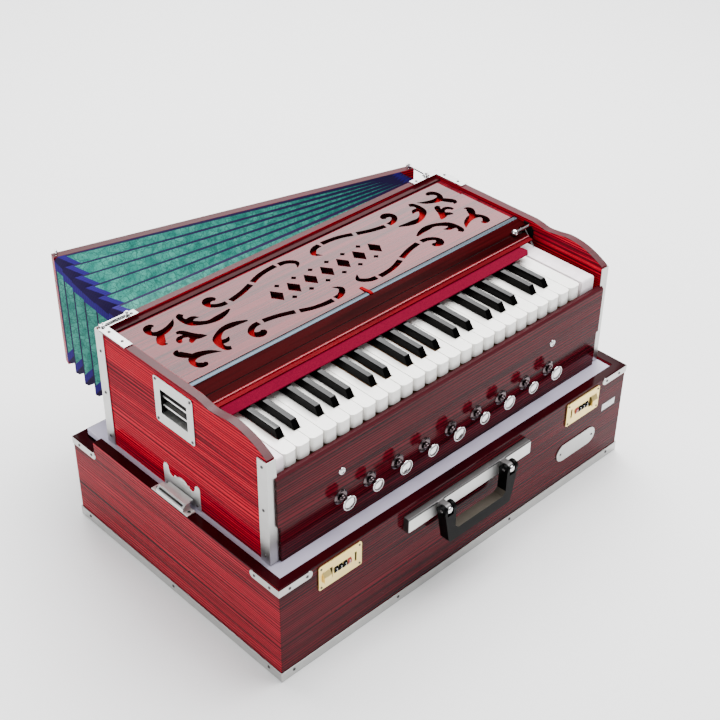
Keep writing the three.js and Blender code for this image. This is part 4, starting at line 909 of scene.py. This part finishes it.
@dataclass
class Cabinet:
    """Cabinet of the instrument: cheeks, posts, boards, rails, grips and the pierced panel."""

    left: float = -311.0
    right: float = 316.0
    top: float = 336.0
    bracket: float = 1.8
    board_front: float = 36.5
    back: float = 372.2
    cheek_left: float = -309.5
    cheek_right: float = 314.5
    # Run of the bead's crown that carries the painted highlight
    bead: Pair = (6.8, 8.6)
    # Lowest height of that painted highlight
    bead_low: float = 321.0
    # Run of the lip, whose red is painted brighter as light
    lip: float = 9.7
    # Run of the groove, painted black as shade
    groove: Pair = (20.8, 22.2)
    flange: float = 1.4
    grip_bars_z: Pair = (298.4, 285.1)
    ribbon_left: float = 3.8
    ribbon_step: float = 1.1
    ribbon_path: tuple[Pair, ...] = (
        (217.0, 330.9), (211.0, 331.0), (205.5, 331.6), (203.0, 332.1), (200.2, 332.3),
        (197.2, 332.0), (194.6, 331.3),
    )

    def build(self) -> None:
        """Dresses the cabinet's nodes and adds its small pieces."""
        cheek = [Finish.SIDE, Finish.EDGE, Finish.STEEL]
        grip = [Finish.ALUMINIUM, Finish.STEEL, Finish.CUP]
        for name in ("left", "right"):
            dressed(f"cheek_{name}", cheek, 1.2, self.cheek_part, 3)
            dressed(f"post_front_{name}", [Finish.ALUMINIUM], 0.3)
            dressed(f"post_back_{name}", [Finish.ALUMINIUM], 0.3)
            dressed(f"side_grip_{name}", grip, 0.4, self.grip_part)
        self.dress_boards()
        dressed("cover_strip", [Finish.BLUED], 0.3)
        # The sides of the cuts are in painted shade, the tops lacquered
        dressed("pierced_panel", [Finish.SAWN, Finish.TOP], 0.3, by_level)
        dressed("wind_chest", [Finish.CHEST], 0.8)
        dressed("lift_platform", [Finish.PLATFORM], 1.0)
        dressed("felt_strip", [Finish.FELT], 0.5, segments=3)
        dressed("lever_plate", [Finish.DARK], 0.3)
        corners = place(-296, 206, 319.8), place(301, 350, 320.6)
        add_plate("panel_liner", *corners, Finish.LINING, "instrument", "felt_strip", 0.2)
        self.add_ribbon()
        self.add_cups()
        self.add_screws()

    def cheek_part(self, middle: Vector, normal: Vector) -> int:
        """Gives 2 for a cheek's strike plate, and by level for the rest."""
        past = max(self.cheek_left - middle.x / MM, middle.x / MM - self.cheek_right)
        return 2 if past > CLEAR else by_level(middle, normal)

    def grip_part(self, middle: Vector, normal: Vector) -> int:
        """Gives 0 for a lifting grip's flange, 1 for its bars and ledges, and 2 for its cup in
        painted shade.

        Args:
            middle: Middle of the face.
            normal: Its direction.

        Returns:
            The number of its finish.
        """
        depth = min(middle.x / MM - self.left, self.right - middle.x / MM)
        if depth < self.flange:
            return 0
        from_bar = min(abs(middle.z / MM - z) for z in self.grip_bars_z)
        return 1 if (3 < depth < 13 and from_bar < 1.7) or normal.z > LEVEL else 2

    def dress_boards(self) -> None:
        """Dresses the front board with its rosettes, the back wall with its brackets, the rails."""
        board = place(0, self.board_front - CLEAR, 0).y
        rail_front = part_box("cover_rail")[0][1] / MM

        def board_part(middle: Vector, normal: Vector) -> int:
            """Gives 3 for a rosette, and by facing for the board."""
            return 3 if middle.y < board else by_facing(middle, normal)

        def rail_part(middle: Vector, normal: Vector) -> int:
            """Gives 1 for the bead's crown with its painted highlight, 2 for the groove in painted
            shade, 3 for the lip with painted light and 0 for the rail.

            Args:
                middle: Middle of the face.
                normal: Its direction.

            Returns:
                The number of its finish.
            """
            run = middle.y / MM - rail_front
            if self.bead[0] < run < self.bead[1] and middle.z > self.bead_low * MM:
                return 1
            if run < self.lip:
                return 3
            return 2 if self.groove[0] < run < self.groove[1] else 0

        # The board's front, number 2, takes the print with painted shade
        finishes = [Finish.STAINED, Finish.EDGE, Finish.FRONT, Finish.GUNMETAL]
        dressed("front_board", finishes, 0.5, board_part)
        finishes = [Finish.SIDE, Finish.EDGE, Finish.CHROME]
        dressed("back_wall", finishes, 0.5, fittings_above(self.top))
        dressed("rear_rail", [Finish.STAINED], 0.8)
        finishes = [Finish.RAIL, Finish.BEAD, Finish.DARK, Finish.LIP]
        dressed("cover_rail", finishes, 0.3, rail_part)

    def add_ribbon(self) -> None:
        """Adds the ribbon tab that lies across the bright strip."""
        mesh = bmesh.new()
        columns = [self.ribbon_left + self.ribbon_step * i for i in range(6)]
        rows = [
            [mesh.verts.new(place(x, y, z + 0.25 * math.sin(x * 0.7 + y))) for x in columns]
            for y, z in self.ribbon_path
        ]
        for a, b in zip(rows, rows[1:]):
            for i in range(len(columns) - 1):
                mesh.faces.new([a[i], b[i], b[i + 1], a[i + 1]]).smooth = True
        ribbon = new_piece("ribbon_tab", mesh, [Finish.RIBBON], "instrument")
        thick = ribbon.modifiers.new("thickness", "SOLIDIFY")
        thick.thickness = 0.4 * MM
        thick.offset = 1

    def add_cups(self) -> None:
        """Adds the two cup washers with their screws on the front board."""
        mesh = bmesh.new()
        cup = [(5.4, -0.2), (5.4, 0.5), (4.8, 1.3), (3.6, 1.5), (3.1, 0.9)]
        screw = [(3.0, 0.6), (2.6, 1.2), (1.4, 1.6), (0, 1.7)]
        for x in (-196.5, 199.5):
            add_turned(mesh, cup + screw, place(x, self.board_front, 240), AHEAD, 28)
        new_piece("cup_washers", mesh, [Finish.CHROME], "instrument")

    def add_screws(self) -> None:
        """Adds the screws of the brackets, the grips, the posts and the strike plates."""
        screws = Screws("cabinet_screws", "instrument")
        sides = ((-1, self.left, self.cheek_left), (1, self.right, self.cheek_right))
        for side, outer, cheek in sides:
            outward = (side, 0, 0)
            for inward, run in ((6.5, 22), (6.5, 50), (26, 7), (52, 7)):
                x, y = outer - side * inward, self.back - run
                screws.at(x, y, self.top + self.bracket, ABOVE)
            for y in (180.2, 248.2):
                for z in (262.5, 323.5):
                    screws.at(outer, y, z, outward)
            for z in (166, 238, 304):
                for y in (49, 365):
                    screws.at(outer, y, z, outward)
            for y in (180.5, 242.5):
                screws.at(cheek + side * 1.2, y, 160, outward)
        screws.build()


@dataclass
class Keyboard:
    """White keys, black keys, end blocks and the bed that carries them."""

    key_top: float = 305.0
    bed_top: float = 276.1
    edge: float = 0.6
    whites: tuple[str, ...] = ("c", "d", "e", "f", "g", "a", "b")
    blacks: tuple[str, ...] = ("c_sharp", "d_sharp", "f_sharp", "g_sharp", "a_sharp")

    def build(self) -> None:
        """Dresses the keys that play, then the key frame with the others."""
        for name in self.whites:
            dressed(f"key_{name}", [Finish.WHITE_KEY], 0.7, segments=3)
        finishes = [Finish.CHEST, Finish.BLACK_TOP, Finish.BLACK_SIDE]
        for name in self.blacks:
            key = dressed(f"key_{name}", finishes, self.edge, self.black_part, 3)
            key.modifiers["rounded edges"].material = 2
        finishes = [Finish.WHITE_KEY, Finish.BLACK_TOP, Finish.BLACK_SIDE, Finish.CHEST]
        self.split_caps(dressed("key_frame", finishes, 0.7, self.frame_part, 3))
        for name in ("left", "right"):
            dressed(f"end_block_{name}", [Finish.BLOCK], 0.8, segments=3)

    def split_caps(self, bed: Piece) -> None:
        """Moves the fixed black keys from the bed's mesh into a piece with darker edges.

        Args:
            bed: The bed with the fixed keys.
        """
        whites, caps = bmesh.new(), bmesh.new()
        for mesh, is_cap in ((whites, False), (caps, True)):
            mesh.from_mesh(bed.data)
            other = [part for part in mesh.faces if (part.material_index in (1, 2)) != is_cap]
            bmesh.ops.delete(mesh, geom=other, context="FACES")
        whites.to_mesh(bed.data)
        whites.free()
        for part in caps.faces:
            part.material_index -= 1
        finishes = [Finish.BLACK_TOP, Finish.BLACK_SIDE]
        piece = new_piece("fixed_black_keys", caps, finishes, "instrument")
        round_edges(piece, self.edge, 3, 1)

    def black_part(self, middle: Vector, normal: Vector) -> int:
        """Gives 1 for a black key's top, 2 for its sides and 0 for its stick of bare wood.

        Args:
            middle: Middle of the face.
            normal: Its direction.

        Returns:
            The number of its finish.
        """
        if middle.z < (self.key_top + CLEAR) * MM:
            return 0
        return 1 if normal.z > QUITE_LEVEL else 2

    def frame_part(self, middle: Vector, normal: Vector) -> int:
        """Gives 1 or 2 for the black keys, 0 for the whites and 3 for the bed."""
        black = self.black_part(middle, normal)
        return black or (3 if middle.z < self.bed_top * MM else 0)


@dataclass
class Stops:
    """Nine pull stops: turned knobs with a domed face, ringed neck and stem."""

    count: int = 9
    pitch: float = 49.2
    offset: float = -2.0
    height: float = 200.3
    board_front: float = 36.5
    tail: float = 22.0
    reach: float = 18.0
    large: float = 11.0
    small: float = 9.6

    def profiles(self, radius: float) -> list[tuple[list[Pair], int]]:
        """Gives the profile and the material number of a knob's neck, rim, groove and dome.

        Args:
            radius: Radius of the knob's face.

        Returns:
            Each profile with its material number.
        """
        end = self.tail + self.reach
        neck = [
            (0, 0), (2.6, 0), (2.6, 24.5), (4.6, 24.7), (5.2, 25.3), (5.2, 26.4), (4.4, 27.4),
            (3.1, 28.3), (2.9, 30.5), (3.4, 32.5), (5.2, end - 4.6),
        ]
        rim = [
            neck[-1], (radius - 1.6, end - 3.6), (radius - 0.3, end - 2.9), (radius, end - 2.1),
            (radius - 0.2, end - 1.2), (radius - 0.9, end - 0.7), (radius - 1.7, end - 0.8),
        ]
        groove = [rim[-1], (radius - 2.3, end - 1.5), (radius - 2.9, end - 0.9)]
        dome = [groove[-1], (radius * 0.5, end - 0.4), (radius * 0.25, end - 0.1), (0, end)]
        return [(neck, 0), (rim, 1), (groove, 0), (dome, 1)]

    def build(self) -> None:
        """Turns each stop, large and small in turn, and lets it ride on its own body."""
        for i in range(self.count):
            mesh = bmesh.new()
            x = self.offset + (i - (self.count - 1) / 2) * self.pitch
            origin = place(x, self.board_front + self.tail, self.height)
            for profile, number in self.profiles(self.small if i % 2 else self.large):
                add_turned(mesh, profile, origin, AHEAD, 40, number)
            bmesh.ops.remove_doubles(mesh, verts=mesh.verts, dist=1e-6)
            name = f"stop_{i + 1}"
            finishes = [Finish.GUNMETAL, Finish.CHROME]
            knob = new_piece(f"{name}_knob", mesh, finishes, body_of(name))
            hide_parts(name)


@dataclass
class Bellows:
    """Pleated bellows: panels in marbled paper, tape along every fold, cloth at the corners."""

    left: float = -272.5
    right: float = 276.5
    low: float = 155.9
    high: float = 335.6
    start: float = 372.5
    depth: float = 26.8
    pivot_x: float = 289.5
    pivot_y: float = 405.9
    angle: float = -math.radians(15.7)
    tuck: float = 20.0
    ridge_corner: float = 5.0
    valley_corner: float = 16.0
    tape: Pair = (1.4, 4.6)
    patch: float = 9.0
    shares: tuple[float, ...] = (
        0, 0.13, 0.218, 0.305, 0.393, 0.48, 0.568, 0.655, 0.743, 0.83, 0.915, 1,
    )
    outward: tuple[Pair, ...] = (
        (-1, 0), (-1, 1), (0, 1), (1, 1), (1, 0), (1, -1), (0, -1), (-1, -1),
    )

    def corners(self, index: int) -> list[Pair]:
        """Gives a fold edge's eight corners in the shut bellows, clockwise from the bottom left.

        Args:
            index: Number of the fold edge.

        Returns:
            The corners, in millimetres.
        """
        is_ridge = index % 2 == 1
        inset = 0.0 if is_ridge else self.tuck
        cut = self.ridge_corner if is_ridge else self.valley_corner
        left, right = self.left + inset, self.right - inset
        low, high = self.low + inset, self.high - inset
        return [
            (left, low + cut), (left, high - cut), (left + cut, high), (right - cut, high),
            (right, high - cut), (right, low + cut), (right - cut, low), (left + cut, low),
        ]

    def opened(self, point: Pair, share: float) -> Vector:
        """Turns a point of a closed fold edge to where it is with the bellows open.

        Args:
            point: The point, in millimetres.
            share: Share of the board's way at this fold edge.

        Returns:
            The point in the scene.
        """
        turn = self.angle * share
        dx = point[0] - self.pivot_x
        dy = self.start + share * self.depth - self.pivot_y
        across = self.pivot_x + dx * math.cos(turn) - dy * math.sin(turn)
        back = self.pivot_y + dx * math.sin(turn) + dy * math.cos(turn)
        return place(across, back, point[1])

    def tape_at(self, x: float) -> float:
        """Gives the width of the tape along a fold, which grows towards the hinge."""
        narrow, wide = self.tape
        return narrow + (wide - narrow) * (x - self.left) / (self.right - self.left)

    def build(self) -> None:
        """Makes every panel between two fold edges, the board and the hooks."""
        folds = range(len(self.shares) - 1)
        first, *_ = [self.panel(index, side) for index in folds for side in range(8)]
        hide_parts("bellows_folds")
        finishes = [Finish.SIDE, Finish.EDGE, Finish.CHROME]
        dressed("bellows_board", finishes, 1.2, fittings_above(self.high), 3)
        for name in ("left", "right"):
            dressed(f"hook_{name}", [Finish.CHROME], 0.5, segments=3)

    def stations(self, length: float, is_corner: bool) -> list[float]:
        """Gives where a panel is divided along its fold, from 0 to 1, its patches at the ends.

        Args:
            length: Length of the panel along its fold.
            is_corner: Whether it turns a corner.

        Returns:
            The places, in order.
        """
        if is_corner:
            return [0, 0.25, 0.5, 0.75, 1]
        patch = self.patch / length
        return [0, *(patch + (1 - 2 * patch) * i / 24 for i in range(25)), 1]

    def panel(self, index: int, side: int) -> Piece:
        """Makes one panel, which bends between the cabinet and the board.

        Args:
            index: Number of the fold edge nearer the back wall.
            side: 0 left, 2 top, 4 right, 6 bottom, and the odd numbers are the corners between.

        Returns:
            The new object.
        """
        near, far = (
            (edge[side], edge[(side + 1) % 8])
            for edge in (self.corners(index), self.corners(index + 1))
        )
        shares = self.shares[index], self.shares[index + 1]
        is_corner = side % 2 == 1
        stations = self.stations(math.dist(*near), is_corner)
        mesh = bmesh.new()
        rows: list[list[bmesh.types.BMVert]] = [[] for _ in range(3 if is_corner else 5)]
        for along in stations:
            a, b = between(*near, along), between(*far, along)
            tape = self.tape_at(a[0]) / self.tuck
            for row, t in zip(rows, (0, 0.5, 1) if is_corner else (0, tape, 0.5, 1 - tape, 1)):
                share = shares[0] + (shares[1] - shares[0]) * t
                row.append(mesh.verts.new(self.opened(between(a, b, t), share)))
        for number, (a, b) in enumerate(zip(rows, rows[1:])):
            for i in range(len(stations) - 1):
                made = mesh.faces.new([a[i], a[i + 1], b[i + 1], b[i]])
                is_patch = not is_corner and i in (0, len(stations) - 2)
                is_tape = number in (0, len(rows) - 2)
                made.material_index = 0 if is_patch else (1 if is_corner or is_tape else 2)
        finishes = [Finish.BLUE, Finish.VIOLET, Finish.PAPER]
        piece = link_mesh(f"fold_{index:02d}_{side}", mesh, finishes)
        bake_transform(piece)
        log.info("%s bends with the board", piece.name)
        return piece


def between(start: Sequence[float], end: Sequence[float], share: float) -> tuple[float, ...]:
    """Gives the point at a share of the way from one point to another."""
    return tuple(a + (b - a) * share for a, b in zip(start, end))


@dataclass
class Studio:
    """Pale floor, soft light and the camera at the photograph's angle."""

    spot: Direction = (-1077.3, -901.8, 1326.6)
    azimuth: float = math.radians(-44.1)
    elevation: float = math.radians(35.59)
    roll: float = 0.01
    lens_mm: float = 69.25
    sensor_mm: float = 36.0

    def build(self) -> None:
        """Makes the camera, the floor and the lights."""
        self.make_camera()
        self.make_floor()
        self.make_lights()

    def make_camera(self) -> None:
        """Sets the camera where the photograph was taken from."""
        az, el = self.azimuth, self.elevation
        back = Vector((math.sin(az) * math.cos(el), -math.cos(az) * math.cos(el), math.sin(el)))
        right = Vector((math.cos(az), math.sin(az), 0))
        up = back.cross(right)
        rolled = right * math.cos(self.roll) + up * math.sin(self.roll)
        up_rolled = up * math.cos(self.roll) - right * math.sin(self.roll)
        data = bpy.data.cameras.new("photo camera")
        data.lens = self.lens_mm
        data.sensor_width = self.sensor_mm
        camera = link_new("photo camera", data)
        rotation = Matrix((rolled, up_rolled, back)).transposed().to_4x4()
        camera.matrix_world = Matrix.Translation(place(*self.spot)) @ rotation
        bpy.context.scene.camera = camera

    def make_floor(self) -> None:
        """Makes the pale floor."""
        mesh = bmesh.new()
        bmesh.ops.create_grid(mesh, x_segments=1, y_segments=1, size=12)
        floor = link_mesh("floor", mesh)
        floor.location.z = -0.5 * MM
        make = Shader("pale studio floor")
        noise = make.add_node("ShaderNodeTexNoise", {"Scale": 3.0}).outputs[0]
        colour = make.ramp(noise, (0.3, "#F3F3F3"), (0.7, "#F6F6F6"))
        floor.data.materials.append(make.close({"Base Color": colour, "Roughness": 0.8}))

    def make_lights(self) -> None:
        """Adds a pale room, the window that the tops mirror, a large light and two weaker ones."""
        world = bpy.data.worlds.new("pale room")
        world.use_nodes = True
        sky = world.node_tree.nodes["Background"]
        sky.inputs[0].default_value = (0.95, 0.96, 1.0, 1.0)
        sky.inputs[1].default_value = 0.35
        bpy.context.scene.world = world
        self.add_panel("window behind", (1.65, 1.75, 2.25), (2.1, 1.7), 54)
        self.add_panel("overhead light", (0.9, 0.4, 3.0), (4.4, 2.6), 400)
        self.add_panel("left light", (-2.6, -0.2, 1.5), (1.6, 1.6), 50)
        self.add_panel("front light", (0.4, -2.6, 1.4), (1.2, 1.2), 6)

    def add_panel(self, name: str, spot: Direction, size: Pair, watts: float) -> None:
        """Adds one light panel of a width and a height in metres, which faces the object.

        Args:
            name: Name of the light.
            spot: Where it stands.
            size: Its width and height.
            watts: Its power.
        """
        data = bpy.data.lights.new(name, "AREA")
        data.shape = "RECTANGLE"
        data.size, data.size_y = size
        data.energy = watts
        panel = link_new(name, data)
        panel.location = spot
        gaze = Vector((0, 0, 0.2)) - Vector(spot)
        panel.rotation_euler = gaze.to_track_quat("-Z", "Y").to_euler()


def main() -> None:
    """Builds every part of the picture in order."""
    Studio().build()
    CarryingCase().build()
    Cabinet().build()
    Keyboard().build()
    Stops().build()
    dressed("lever", [Finish.CHROME], 0.3)
    Bellows().build()
    log.info("sizes written")


if __name__ == "__main__":
    logging.basicConfig(level=logging.INFO)
    main()
